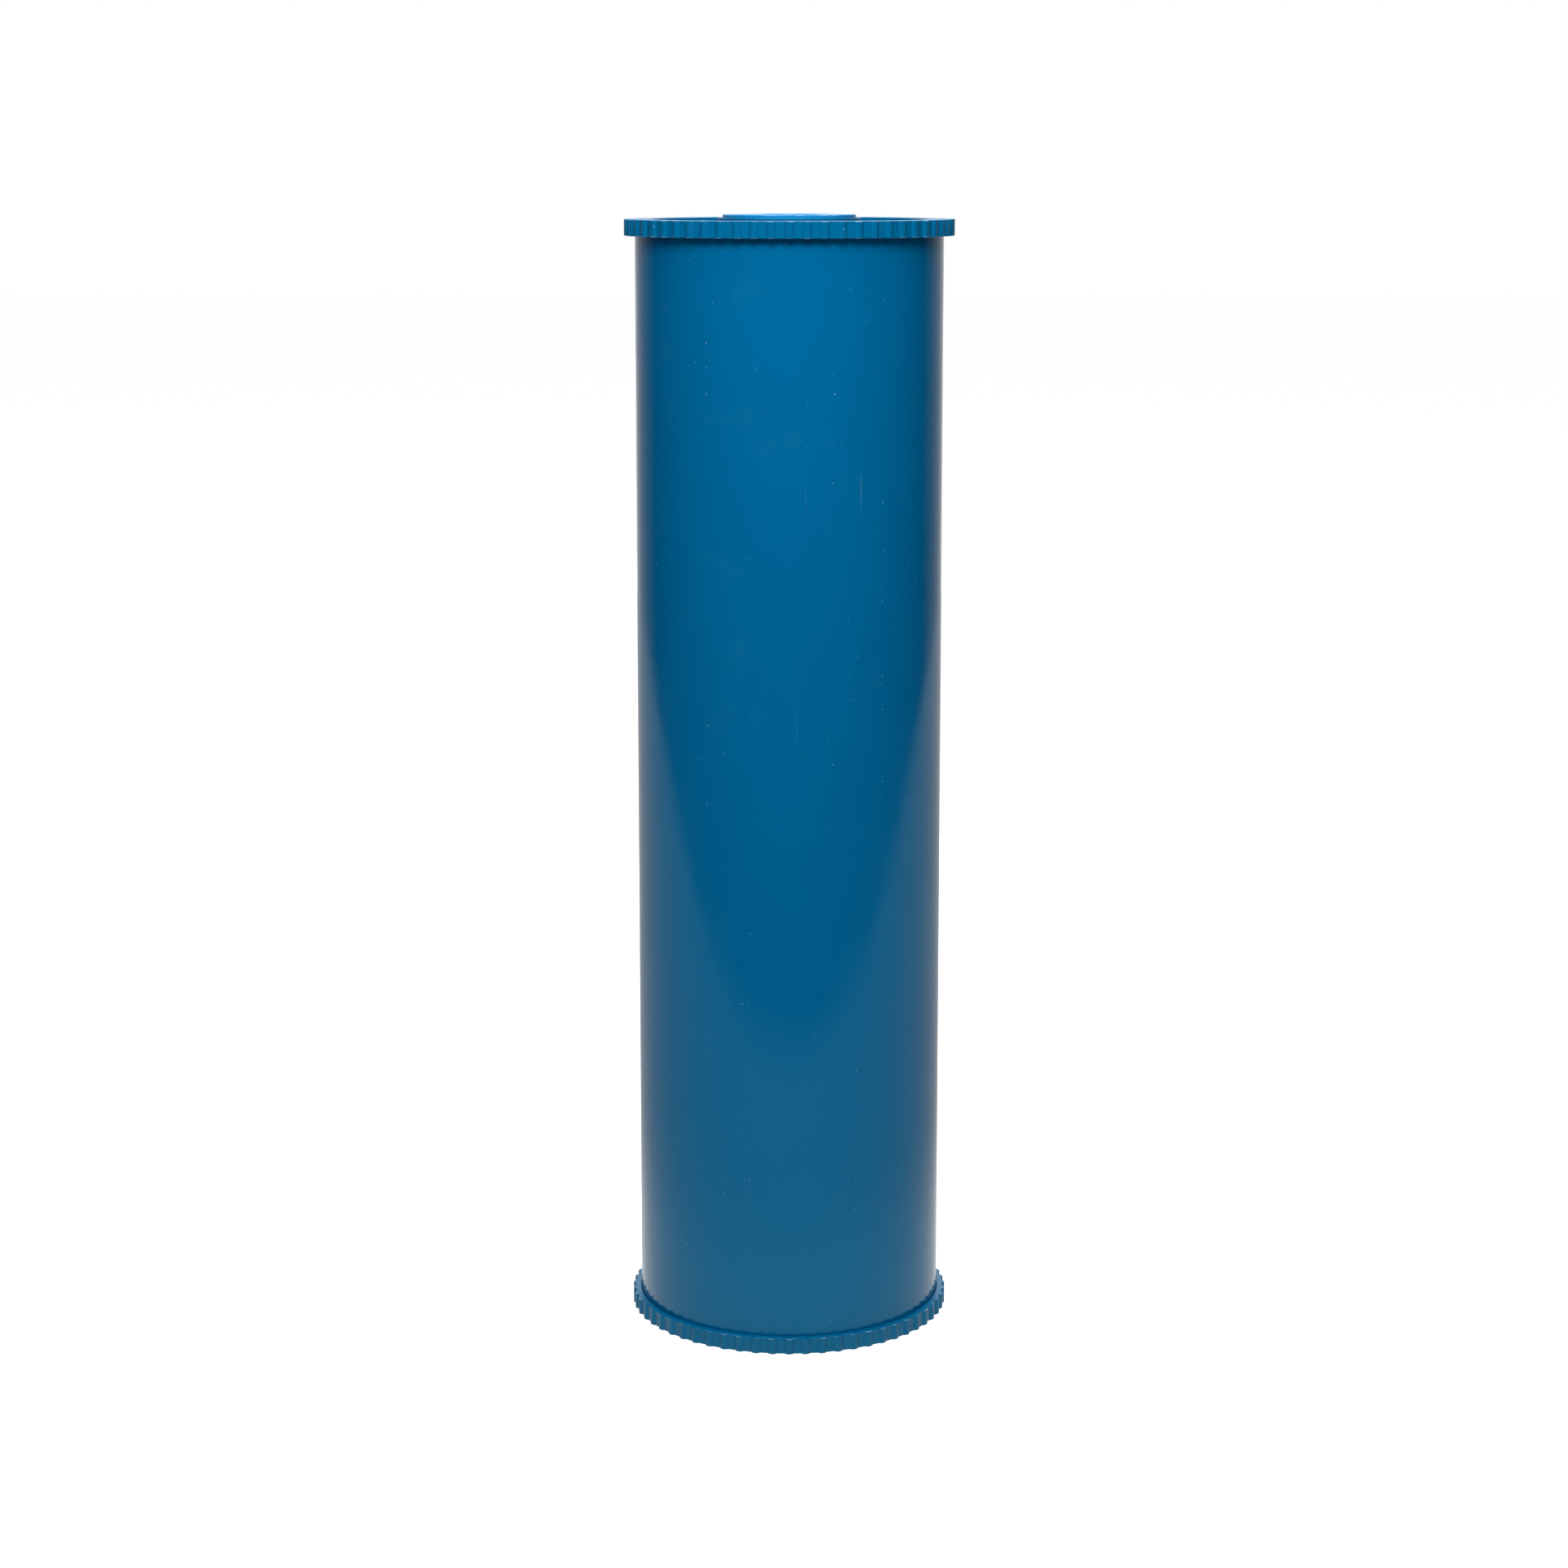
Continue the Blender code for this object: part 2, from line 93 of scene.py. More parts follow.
PLUG_END = RIM_Z - CAP_LOW.z
THREAD_HEIGHT = 1.2 * MM
THREAD_PITCH = 4.0 * MM
THREAD_TURNS = 2.0
THREAD_BASE = 1.5 * MM
THREAD_CREST = 0.7 * MM
THREAD_SINK = 0.2 * MM
CREST_RADIUS = BORE_RADIUS - THREAD_HEIGHT
CORE_RADIUS = CREST_RADIUS - GAP
PLUG_BORE = CORE_RADIUS - 1.6 * MM
LEDGE_RADIUS = PLUG_BORE - 1.5 * MM
LEDGE_DEPTH = RECESS_DEPTH + WEB + 1.5 * MM
PILOT_DEPTH = RECESS_DEPTH + WEB + 0.4 * MM
GROOVE_RADIUS = PLUG_BORE + 0.7 * MM
OUTLET_RADIUS = 8.4 * MM
SEAT_RADIUS = GASKET_RADIUS + GAP
HUB_RADIUS = SEAT_RADIUS + 0.8 * MM
HUB_RISE = CAP_HIGH.z - RIM_Z
HUB_FLANGE = 1.7 * MM
NECK_RADIUS = OUTLET_RADIUS + 4.6 * MM
SOCKET_RADIUS = 8.4 * MM
SOCKET_OUTER = SOCKET_RADIUS + 2.6 * MM
SOCKET_SETBACK = 1.0 * MM
RIB_COUNT = 6
RIB_THICKNESS = 1.6 * MM
RIB_HEIGHT = 2.0 * MM
SLOT_COUNT = 12
SLOT_WIDTH = 2.6 * MM
SLOT_INNER = SOCKET_OUTER + 2.0 * MM
SLOT_OUTER = LEDGE_RADIUS - 2.0 * MM

# Sizes of the pieces held in the caps and the tube.
SCREEN_HOLE_RADIUS = 2.6 * MM
SCREEN_RING_STEP = (STACK_RADIUS - 5.5 * MM - SCREEN_HOLE_RADIUS) / 2
RETAINER_WIDTH = 2.2 * MM
RETAINER_SPLIT = 6.0 * MM
RETAINER_TURN = TURN / 96
BED_SHOULDER = 1.7 * MM
FELT_FILLET = 0.9 * MM
CLOTH_FILLET = 0.12 * MM
FOAM_FILLET = 0.8 * MM

# Spacing of the points on soft pieces, and the angle in degrees that their shading smooths over.
SOFT_STEP = 0.7 * MM
SOFT_COLUMNS = 220
SOFT_SHARP = 80.0
GRAIN_STEP = 1.0 * MM
GRAIN_COLUMNS = 200


# ---------------------------------------------------------------- shapes

def rounded(corners, closed, arc_steps=4):
    """An outline through corners (radius, z, fillet), each corner with a fillet made an arc.

    With h half the angle between the two sides, an arc of radius f touches them at f / tan(h)
    from the corner, and its centre lies at f / sin(h) along the line that halves the corner.
    Returns the points and an edge value: 1 on outward arcs, 0 on flats and inward arcs.
    """
    corners = np.array(corners, float)
    count = len(corners)
    points = []
    edges = []
    for index, (radius, z, fillet) in enumerate(corners):
        here = np.array((radius, z))
        end = not closed and index in (0, count - 1)
        if fillet == 0.0 or end:
            points.append(here[None])
            edges.append(np.zeros(1))
            continue
        back = corners[index - 1, :2] - here
        on = corners[(index + 1) % count, :2] - here
        back /= np.linalg.norm(back)
        on /= np.linalg.norm(on)
        half = 0.5 * math.acos(np.clip(back @ on, -1, 1))
        middle = (back + on) / np.linalg.norm(back + on)
        centre = here + middle * fillet / math.sin(half)
        first = here + back * fillet / math.tan(half) - centre
        last = here + on * fillet / math.tan(half) - centre
        sweep = math.pi - 2 * half
        share = np.linspace(0, 1, arc_steps + 1)[:, None]
        arc = (first * np.sin((1 - share) * sweep) + last * np.sin(share * sweep)) / math.sin(sweep)
        lead = 0.15 * fillet
        arc = np.vstack((first + back * lead, arc, last + on * lead)) + centre
        outward = back[0] * on[1] - back[1] * on[0] > 0
        points.append(arc)
        edges.append(np.r_[0.0, np.full(arc_steps + 1, 1.0 if outward else 0.0), 0.0])
    return np.vstack(points), np.concatenate(edges)


def grid_mesh(name, grid, closed_rows, closed_columns, values=None):
    """A piece from a grid of points, rows by columns by 3, with a quad between each four neighbours.

    closed_rows joins the last row to the first, and closed_columns the last column to the first.
    Points that fall together, as at a pole, are merged.
    """
    rows, columns = grid.shape[:2]
    number = np.arange(rows * columns).reshape(rows, columns)
    down = np.vstack((number, number[:1])) if closed_rows else number
    down = np.hstack((down, down[:, :1])) if closed_columns else down
    quads = np.stack((down[:-1, :-1], down[1:, :-1], down[1:, 1:], down[:-1, 1:]), axis=-1).reshape(-1, 4)
    mesh = bpy.data.meshes.new(name)
    mesh.vertices.add(rows * columns)
    mesh.vertices.foreach_set("co", grid.astype(np.float32).ravel())
    mesh.loops.add(quads.size)
    mesh.loops.foreach_set("vertex_index", quads.astype(np.int32).ravel())
    mesh.polygons.add(len(quads))
    mesh.polygons.foreach_set("loop_start", np.arange(0, quads.size, 4, dtype=np.int32))
    mesh.polygons.foreach_set("loop_total", np.full(len(quads), 4, dtype=np.int32))
    mesh.update(calc_edges=True)
    edge = mesh.attributes.new("edge", "FLOAT", "POINT")
    edge.data.foreach_set("value", np.zeros(rows * columns, np.float32) if values is None
                          else values.astype(np.float32).ravel())
    mesh.validate()
    return mesh


def merge_poles(mesh, distance=1e-7):
    """Merges the points of a mesh that lie together."""
    work = bmesh.new()
    work.from_mesh(mesh)
    bmesh.ops.remove_doubles(work, verts=work.verts, dist=distance)
    work.to_mesh(mesh)
    work.free()


def finish_piece(name, mesh, material, body, replaced=(), sharp=32.0):
    """Makes the object, smooth except across angles above sharp, and ties it to its body."""
    mesh.materials.append(material)
    mesh.shade_smooth()
    mesh.set_sharp_from_angle(angle=math.radians(sharp))
    piece = bpy.data.objects.new(name, mesh)
    bpy.context.scene.collection.objects.link(piece)
    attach(piece, body)
    if replaced:
        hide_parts(*replaced)
    return piece


def swept_round(outline, angles, reach=None):
    """Points of an outline turned about Z: (r cos a, r sin a, z), with reach added to the radius."""
    radius = outline[:, :1] + (0.0 if reach is None else reach)
    radius = np.broadcast_to(radius, (len(outline), len(angles)))
    z = np.broadcast_to(outline[:, 1:2], radius.shape)
    return np.stack((radius * np.cos(angles), radius * np.sin(angles), z), axis=-1)


def even_angles(count):
    return np.arange(count) * TURN / count


def turned_mesh(name, corners, columns=240, closed=True, arc_steps=4):
    """A turned piece with rounded corners. An open outline starts and ends on the axis."""
    outline, edge = rounded(corners, closed, arc_steps)
    grid = swept_round(outline, even_angles(columns))
    mesh = grid_mesh(name, grid, closed, True, np.repeat(edge[:, None], columns, axis=1))
    if not closed:
        merge_poles(mesh)
    return mesh


def end_up(grid, turned_over):
    """Moves a grid from a cap's own frame to the top rim, or turns it over onto the bottom rim."""
    if turned_over:
        return grid * np.array((1.0, -1.0, -1.0))
    return grid + np.array((0.0, 0.0, RIM_Z))


def place_end(mesh, turned_over):
    """The same for a finished mesh."""
    count = len(mesh.vertices)
    points = np.zeros(count * 3, np.float32)
    mesh.vertices.foreach_get("co", points)
    moved = end_up(points.reshape(-1, 3).astype(float), turned_over)
    mesh.vertices.foreach_set("co", moved.astype(np.float32).ravel())
    mesh.update()


def helix_ridge(name, root, crest, start):
    """A thread ridge: a rounded section carried along a right-hand helix, fading out at both ends.

    A section point at height s on the ridge, from 0 at its root to 1 at its crest, has radius
    root + s (crest - root) f, where f rises from 0 to 1 over the first and last twelfth of a
    turn, and its centre climbs one pitch for each turn.
    """
    columns = 360
    angles = np.linspace(0, TURN * THREAD_TURNS, columns)
    run = np.minimum(angles, angles[-1] - angles) / (TURN / 12)
    fade = np.clip(run, 0, 1) ** 0.5
    side = np.array((-1, -0.62, -0.5, -0.42, 0.42, 0.5, 0.62, 1))
    rise = np.array((0, 0.78, 0.95, 1, 1, 0.95, 0.78, 0))
    slope = (1 - rise) * (THREAD_BASE - THREAD_CREST) / 2
    width = np.where(rise == 0, THREAD_BASE / 2, THREAD_CREST / 2 + slope)
    offset = np.sign(side) * width
    if crest > root:
        offset = offset[::-1]
    radius = root + (crest - root) * rise[:, None] * fade[None]
    z = start + offset[:, None] * (0.3 + 0.7 * fade[None]) + THREAD_PITCH * angles[None] / TURN
    grid = np.stack((radius * np.cos(angles), radius * np.sin(angles), z), axis=-1)
    mesh = grid_mesh(name, grid, True, False)
    close_ends(mesh)
    return mesh


def close_ends(mesh):
    """Fills the open rings of a mesh and turns all its faces outward."""
    work = bmesh.new()
    work.from_mesh(mesh)
    bmesh.ops.holes_fill(work, edges=[edge for edge in work.edges if edge.is_boundary])
    bmesh.ops.recalc_face_normals(work, faces=work.faces)
    work.to_mesh(mesh)
    work.free()


# ---------------------------------------------------------------- shader helpers and groups

def add(tree, kind, **settings):
    """A new node of this kind with its settings."""
    item = tree.nodes.new(kind)
    for key, value in settings.items():
        setattr(item, key, value)
    return item


def join(tree, out, into):
    tree.links.new(out, into)


def maths(tree, operation, first, second=None, clamp=False):
    """A Math node. Each input is a socket or a number."""
    item = add(tree, "ShaderNodeMath", operation=operation, use_clamp=clamp)
    for slot, value in enumerate((first, second)):
        if value is None:
            continue
        if isinstance(value, (int, float)):
            item.inputs[slot].default_value = value
        else:
            join(tree, value, item.inputs[slot])
    return item.outputs[0]


def ramp(tree, value, low, high, out_low=0.0, out_high=1.0):
    """A smooth Map Range from low..high to out_low..out_high."""
    item = add(tree, "ShaderNodeMapRange", interpolation_type="SMOOTHSTEP")
    join(tree, value, item.inputs["Value"])
    for key, number in zip(("From Min", "From Max", "To Min", "To Max"), (low, high, out_low, out_high)):
        if isinstance(number, (int, float)):
            item.inputs[key].default_value = number
        else:
            join(tree, number, item.inputs[key])
    return item.outputs["Result"]


def noise(tree, vector, scale, detail=2.0, roughness=0.5):
    item = add(tree, "ShaderNodeTexNoise")
    join(tree, vector, item.inputs["Vector"])
    if isinstance(scale, (int, float)):
        item.inputs["Scale"].default_value = scale
    else:
        join(tree, scale, item.inputs["Scale"])
    item.inputs["Detail"].default_value = detail
    item.inputs["Roughness"].default_value = roughness
    return item.outputs["Fac"]


def stretch(tree, vector, scale):
    item = add(tree, "ShaderNodeMapping")
    join(tree, vector, item.inputs["Vector"])
    item.inputs["Scale"].default_value = scale
    return item.outputs["Vector"]


def new_group(name, inputs, outputs):
    """An empty shader group with the named sockets, and its input and output nodes."""
    tree = bpy.data.node_groups.new(name, "ShaderNodeTree")
    for socket, kind, default in inputs:
        made = tree.interface.new_socket(socket, in_out="INPUT", socket_type=kind)
        if default is not None:
            made.default_value = default
    for socket, kind in outputs:
        tree.interface.new_socket(socket, in_out="OUTPUT", socket_type=kind)
    return tree, add(tree, "NodeGroupInput"), add(tree, "NodeGroupOutput")


FLOAT = "NodeSocketFloat"
VECTOR = "NodeSocketVector"


def mottle_group():
    """Slow cloudy change over a moulding, with a fine grain on top: a factor near 1, and a height."""
    tree, given, out = new_group(
        "mottle",
        [("Vector", VECTOR, None), ("Cloud Scale", FLOAT, 40.0), ("Cloud Depth", FLOAT, 0.06),
         ("Grain Scale", FLOAT, 2500.0), ("Grain Depth", FLOAT, 0.05)],
        [("Factor", FLOAT), ("Height", FLOAT)],
    )
    cloud = noise(tree, given.outputs["Vector"], given.outputs["Cloud Scale"], 3.0)
    grain = noise(tree, given.outputs["Vector"], given.outputs["Grain Scale"], 1.0)
    cloud_part = maths(tree, "MULTIPLY", maths(tree, "SUBTRACT", cloud, 0.5), given.outputs["Cloud Depth"])
    grain_part = maths(tree, "MULTIPLY", maths(tree, "SUBTRACT", grain, 0.5), given.outputs["Grain Depth"])
    total = maths(tree, "ADD", maths(tree, "ADD", cloud_part, grain_part), 1.0)
    join(tree, total, out.inputs["Factor"])
    join(tree, grain, out.inputs["Height"])
    return tree


def speck_group():
    """Scattered round specks: cells of a Voronoi pattern, a few of which hold a dot of their own size."""
    tree, given, out = new_group(
        "specks",
        [("Vector", VECTOR, None), ("Scale", FLOAT, 300.0), ("Share", FLOAT, 0.1), ("Size", FLOAT, 0.1)],
        [("Mask", FLOAT)],
    )
    cells = add(tree, "ShaderNodeTexVoronoi", feature="F1")
    join(tree, given.outputs["Vector"], cells.inputs["Vector"])
    join(tree, given.outputs["Scale"], cells.inputs["Scale"])
    parts = add(tree, "ShaderNodeSeparateColor")
    join(tree, cells.outputs["Color"], parts.inputs["Color"])
    chosen = maths(tree, "LESS_THAN", parts.outputs["Red"], given.outputs["Share"])
    size = maths(tree, "MULTIPLY", given.outputs["Size"], maths(tree, "ADD", parts.outputs["Green"], 0.35))
    dot = ramp(tree, cells.outputs["Distance"], maths(tree, "MULTIPLY", size, 0.6), size, 1.0, 0.0)
    join(tree, maths(tree, "MULTIPLY", dot, chosen), out.inputs["Mask"])
    return tree


def scratch_group():
    """Fine broken lines along one axis: a stretched noise cut to its highest values, kept in patches."""
    tree, given, out = new_group(
        "scratches",
        [
            ("Vector", VECTOR, None),
            ("Scale", FLOAT, 900.0),
            ("Share", FLOAT, 0.3),
            ("Patch Scale", FLOAT, 25.0),
        ],
        [("Mask", FLOAT)],
    )
    lines = noise(tree, stretch(tree, given.outputs["Vector"], (1.0, 1.0, 0.03)), given.outputs["Scale"], 1.0)
    patches = noise(tree, given.outputs["Vector"], given.outputs["Patch Scale"], 2.0)
    low = maths(tree, "SUBTRACT", 0.80, maths(tree, "MULTIPLY", given.outputs["Share"], 0.2))
    sharp = ramp(tree, lines, low, maths(tree, "ADD", low, 0.05))
    join(tree, maths(tree, "MULTIPLY", sharp, ramp(tree, patches, 0.5, 0.65)), out.inputs["Mask"])
    return tree


def rubbed_edge_and_highlight_group():
    """Rubbed edges with a painted highlight along them: the piece's edge value, broken up by noise."""
    tree, given, out = new_group(
        "edge_wear_and_highlight",
        [("Vector", VECTOR, None), ("Edge", FLOAT, 0.0), ("Scale", FLOAT, 330.0), ("Amount", FLOAT, 0.5)],
        [("Mask", FLOAT)],
    )
    broken = ramp(tree, noise(tree, given.outputs["Vector"], given.outputs["Scale"], 4.0, 0.65), 0.42, 0.72)
    edge = ramp(tree, given.outputs["Edge"], 0.2, 1.0)
    mask = maths(tree, "MULTIPLY", maths(tree, "MULTIPLY", edge, broken), given.outputs["Amount"], clamp=True)
    join(tree, mask, out.inputs["Mask"])
    return tree


MOTTLE = mottle_group()
SPECKS = speck_group()
SCRATCHES = scratch_group()
RUBBED_EDGE_AND_HIGHLIGHT = rubbed_edge_and_highlight_group()


def use_group(tree, group, vector, **values):
    """Places a shader group, gives it the vector, and sets its other inputs by name."""
    item = add(tree, "ShaderNodeGroup", node_tree=group)
    join(tree, vector, item.inputs["Vector"])
    for key, value in values.items():
        socket = item.inputs[key.replace("_", " ")]
        if isinstance(value, (int, float)):
            socket.default_value = value
        else:
            join(tree, value, socket)
    return item


def blend_colour(tree, factor, first, second, mode="MIX"):
    """A colour Mix node. Colours are sockets or tuples of three."""
    item = add(tree, "ShaderNodeMix", data_type="RGBA", blend_type=mode)
    for socket, value in ((item.inputs[0], factor), (item.inputs[6], first), (item.inputs[7], second)):
        if isinstance(value, (int, float)):
            socket.default_value = value
        elif isinstance(value, tuple):
            socket.default_value = (*value, 1.0)
        else:
            join(tree, value, socket)
    return item.outputs[2]


def start_material(name):
    """A material with its Principled shader, and the Object coordinates every pattern reads."""
    material = bpy.data.materials.new(name)
    material.use_nodes = True
    tree = material.node_tree
    shader = tree.nodes["Principled BSDF"]
    vector = add(tree, "ShaderNodeTexCoord").outputs["Object"]
    return material, tree, shader, vector


def scaled_colour(tree, colour, factor):
    """A plain colour times a factor that changes over the surface."""
    grey = add(tree, "ShaderNodeCombineColor")
    for channel in ("Red", "Green", "Blue"):
        join(tree, factor, grey.inputs[channel])
    return blend_colour(tree, 1.0, colour, grey.outputs["Color"], "MULTIPLY")


def bump(tree, shader, height, distance, strength=1.0):
    item = add(tree, "ShaderNodeBump")
    item.inputs["Distance"].default_value = distance
    item.inputs["Strength"].default_value = strength
    join(tree, height, item.inputs["Height"])
    join(tree, item.outputs["Normal"], shader.inputs["Normal"])


def moulded_plastic(name, colour, worn_and_highlight_colour, roughness, dust=0.35, scratch=0.3, wear_and_highlight=0.6, grain=0.04):
    """Coloured plastic with a cloudy tone, dust specks, faint scratches, and rubbed edges that also carry a
    painted highlight.
    """
    material, tree, shader, vector = start_material(name)
    tone = use_group(tree, MOTTLE, vector, Grain_Depth=grain)
    specks = use_group(tree, SPECKS, vector, Scale=550.0, Share=dust, Size=0.075).outputs["Mask"]
    dark = use_group(tree, SPECKS, vector, Scale=400.0, Share=dust * 0.7, Size=0.06).outputs["Mask"]
    lines = use_group(tree, SCRATCHES, vector, Share=scratch).outputs["Mask"]
    edge = add(tree, "ShaderNodeAttribute", attribute_name="edge").outputs["Fac"]
    rubbed_and_highlight = use_group(tree, RUBBED_EDGE_AND_HIGHLIGHT, vector, Edge=edge, Amount=wear_and_highlight).outputs["Mask"]
    base = scaled_colour(tree, colour, tone.outputs["Factor"])
    # The light colour on the rubbed edges is painted highlight as well as wear; scratches take the same
    # colour.
    base = blend_colour(tree, maths(tree, "MULTIPLY", rubbed_and_highlight, 0.8), base, worn_and_highlight_colour)
    smudge = ramp(tree, noise(tree, vector, 75.0, 4.0, 0.6), 0.58, 0.75, 0.0, 0.12)
    base = blend_colour(tree, smudge, base, (0.03, 0.19, 0.33))
    base = blend_colour(tree, maths(tree, "MULTIPLY", lines, 0.2), base, worn_and_highlight_colour)
    base = blend_colour(tree, maths(tree, "MULTIPLY", specks, 0.5), base, (0.42, 0.55, 0.62))
    base = blend_colour(tree, maths(tree, "MULTIPLY", dark, 0.6), base, (0.01, 0.03, 0.06))
    join(tree, base, shader.inputs["Base Color"])
    cloud = noise(tree, vector, 60.0, 2.0)
    rough = ramp(tree, cloud, 0.3, 0.7, roughness - 0.03, roughness + 0.05)
    rough = maths(tree, "ADD", rough, maths(tree, "MULTIPLY", lines, 0.12))
    rough = maths(tree, "ADD", rough, maths(tree, "MULTIPLY", rubbed_and_highlight, 0.1))
    join(tree, rough, shader.inputs["Roughness"])
    height = maths(tree, "SUBTRACT", tone.outputs["Height"], maths(tree, "MULTIPLY", lines, 0.8))
    height = maths(tree, "ADD", height, maths(tree, "MULTIPLY", specks, 1.5))
    bump(tree, shader, height, 0.00001, 0.6)
    shader.inputs["IOR"].default_value = 1.5
    shader.inputs["Specular Tint"].default_value = (0.35, 1.0, 1.0, 1.0)
    return material


# The light edge colours of the caps and gasket are painted highlights on their edges as well as rubbing.
TUBE_BLUE = moulded_plastic("tube_blue", (0.0, 0.140, 0.335), (0.10, 0.30, 0.45), 0.10, wear_and_highlight=0.2, scratch=0.4)
CAP_BLUE = moulded_plastic("cap_blue", (0.0, 0.140, 0.320), (0.42, 0.66, 0.80), 0.30, wear_and_highlight=1.0)
GASKET_BLUE = moulded_plastic("gasket_blue", (0.010, 0.270, 0.600), (0.40, 0.65, 0.80), 0.30, wear_and_highlight=0.7)


def seal_rubber():
    material, tree, shader, vector = start_material("seal_rubber")
    tone = use_group(tree, MOTTLE, vector, Cloud_Depth=0.3, Grain_Depth=0.3)
    bloom = use_group(tree, SPECKS, vector, Scale=900.0, Share=0.15, Size=0.12).outputs["Mask"]
    base = scaled_colour(tree, (0.018, 0.018, 0.020), tone.outputs["Factor"])
    colour = blend_colour(tree, maths(tree, "MULTIPLY", bloom, 0.3), base, (0.2, 0.2, 0.2))
    join(tree, colour, shader.inputs["Base Color"])
    join(tree, ramp(tree, noise(tree, vector, 120.0), 0.3, 0.7, 0.5, 0.65), shader.inputs["Roughness"])
    bump(tree, shader, tone.outputs["Height"], 0.00003)
    return material


def white_plastic():
    material, tree, shader, vector = start_material("white_plastic")
    tone = use_group(tree, MOTTLE, vector, Cloud_Depth=0.05, Grain_Depth=0.03)
    join(tree, scaled_colour(tree, (0.74, 0.74, 0.71), tone.outputs["Factor"]), shader.inputs["Base Color"])
    join(tree, ramp(tree, noise(tree, vector, 90.0), 0.3, 0.7, 0.36, 0.5), shader.inputs["Roughness"])
    bump(tree, shader, tone.outputs["Height"], 0.00001)
    return material


def felt():
    material, tree, shader, vector = start_material("felt")
    across = noise(tree, stretch(tree, vector, (1.0, 0.15, 0.6)), 1800.0, 3.0, 0.65)
    along = noise(tree, stretch(tree, vector, (0.15, 1.0, 0.6)), 1800.0, 3.0, 0.65)
    fibres = maths(tree, "MAXIMUM", across, along)
    colour = scaled_colour(tree, (0.84, 0.83, 0.79), ramp(tree, fibres, 0.35, 0.7, 0.8, 1.05))
    join(tree, colour, shader.inputs["Base Color"])
    join(tree, ramp(tree, fibres, 0.3, 0.7, 0.98, 0.85), shader.inputs["Roughness"])
    shader.inputs["Sheen Weight"].default_value = 0.3
    bump(tree, shader, fibres, 0.0002)
    return material


def foam():
    material, tree, shader, vector = start_material("foam")
    cells = add(tree, "ShaderNodeTexVoronoi", feature="SMOOTH_F1")
    join(tree, vector, cells.inputs["Vector"])
    cells.inputs["Scale"].default_value = 900.0
    pores = cells.outputs["Distance"]
    # The colour is darker in the hollows of the pores, where the bump is low: painted shade.
    colour = scaled_colour(tree, (0.22, 0.225, 0.235), ramp(tree, pores, 0.1, 0.6, 0.35, 1.15))
    join(tree, colour, shader.inputs["Base Color"])
    join(tree, ramp(tree, pores, 0.1, 0.6, 0.99, 0.85), shader.inputs["Roughness"])
    bump(tree, shader, pores, 0.0005)
    return material


def woven_mesh():
    material, tree, shader, vector = start_material("woven_mesh")
    waves = []
    for direction in ("X", "Y"):
        wave = add(tree, "ShaderNodeTexWave", wave_type="BANDS", bands_direction=direction)
        join(tree, vector, wave.inputs["Vector"])
        wave.inputs["Scale"].default_value = 320.0
        waves.append(wave.outputs["Fac"])
    weave = maths(tree, "MAXIMUM", *waves)
    colour = scaled_colour(tree, (0.72, 0.73, 0.74), ramp(tree, weave, 0.3, 0.9, 0.3, 1.0))
    join(tree, colour, shader.inputs["Base Color"])
    join(tree, ramp(tree, weave, 0.3, 0.9, 0.7, 0.45), shader.inputs["Roughness"])
    bump(tree, shader, weave, 0.0002)
    return material


def carbon():
    material, tree, shader, vector = start_material("carbon")
    grains = add(tree, "ShaderNodeTexVoronoi", feature="F1")
    join(tree, vector, grains.inputs["Vector"])
    grains.inputs["Scale"].default_value = 750.0
    parts = add(tree, "ShaderNodeSeparateColor")
    join(tree, grains.outputs["Color"], parts.inputs["Color"])
    shade = ramp(tree, parts.outputs["Red"], 0.0, 1.0, 0.5, 1.6)
    join(tree, scaled_colour(tree, (0.014, 0.014, 0.015), shade), shader.inputs["Base Color"])
    join(tree, ramp(tree, parts.outputs["Green"], 0.0, 1.0, 0.45, 0.85), shader.inputs["Roughness"])
    height = ramp(tree, grains.outputs["Distance"], 0.0, 0.7, 1.0, 0.0)
    bump(tree, shader, height, 0.0008)
    return material


SEAL_BLACK = seal_rubber()
WHITE_PLASTIC = white_plastic()
FELT = felt()
FOAM = foam()
WOVEN_MESH = woven_mesh()
CARBON = carbon()


# ---------------------------------------------------------------- the pieces

def tooth_columns():
    """Angles of the columns round a cap, and how far each stands on a tooth.

    A tooth is a low dome: with x the share of the pitch from its middle and w its half width, it
    rises by (1 - (x / w)^2)^0.8 of the tooth depth, and the land between teeth is round.
    """
    share = np.array((-0.5, -0.385, -0.275, -0.262, -0.215, -0.13, 0.0, 0.13, 0.215, 0.262, 0.275, 0.385))
    dome = np.clip(1 - (share / TOOTH_HALF_SHARE) ** 2, 0, None) ** 0.8
    pitch = TURN / TOOTH_COUNT
    angles = (np.arange(TOOTH_COUNT)[:, None] + share[None]).ravel() * pitch
    return angles, np.tile(dome, TOOTH_COUNT)


def cap_mesh(name, corners, closed):
    """A cap's surface: its outline turned about the axis, with the rim pushed out at each tooth.

    The push is the tooth's height times a ramp that rises from 0 to 1 over the last 0.9 mm
    inside the land radius, so the rim's flat faces run out into the teeth.
    """
    outline, edge = rounded(corners, closed)
    angles, dome = tooth_columns()
    start = LAND_RADIUS - 0.9 * MM
    reach = np.clip((outline[:, :1] - start) / (LAND_RADIUS - RIM_FILLET - start), 0, 1)
    grid = swept_round(outline, angles, TOOTH_DEPTH * reach * dome[None])
    # The edge value is strongest on the crowns of the teeth, so the light edge colour paints a highlight
    # along each tooth's rim as well as wear.
    edge_and_tooth_highlight = edge[:, None] * (0.3 + 0.7 * reach * dome[None])
    mesh = grid_mesh(name, grid, closed, True, edge_and_tooth_highlight)
    if not closed:
        merge_poles(mesh)
    return mesh


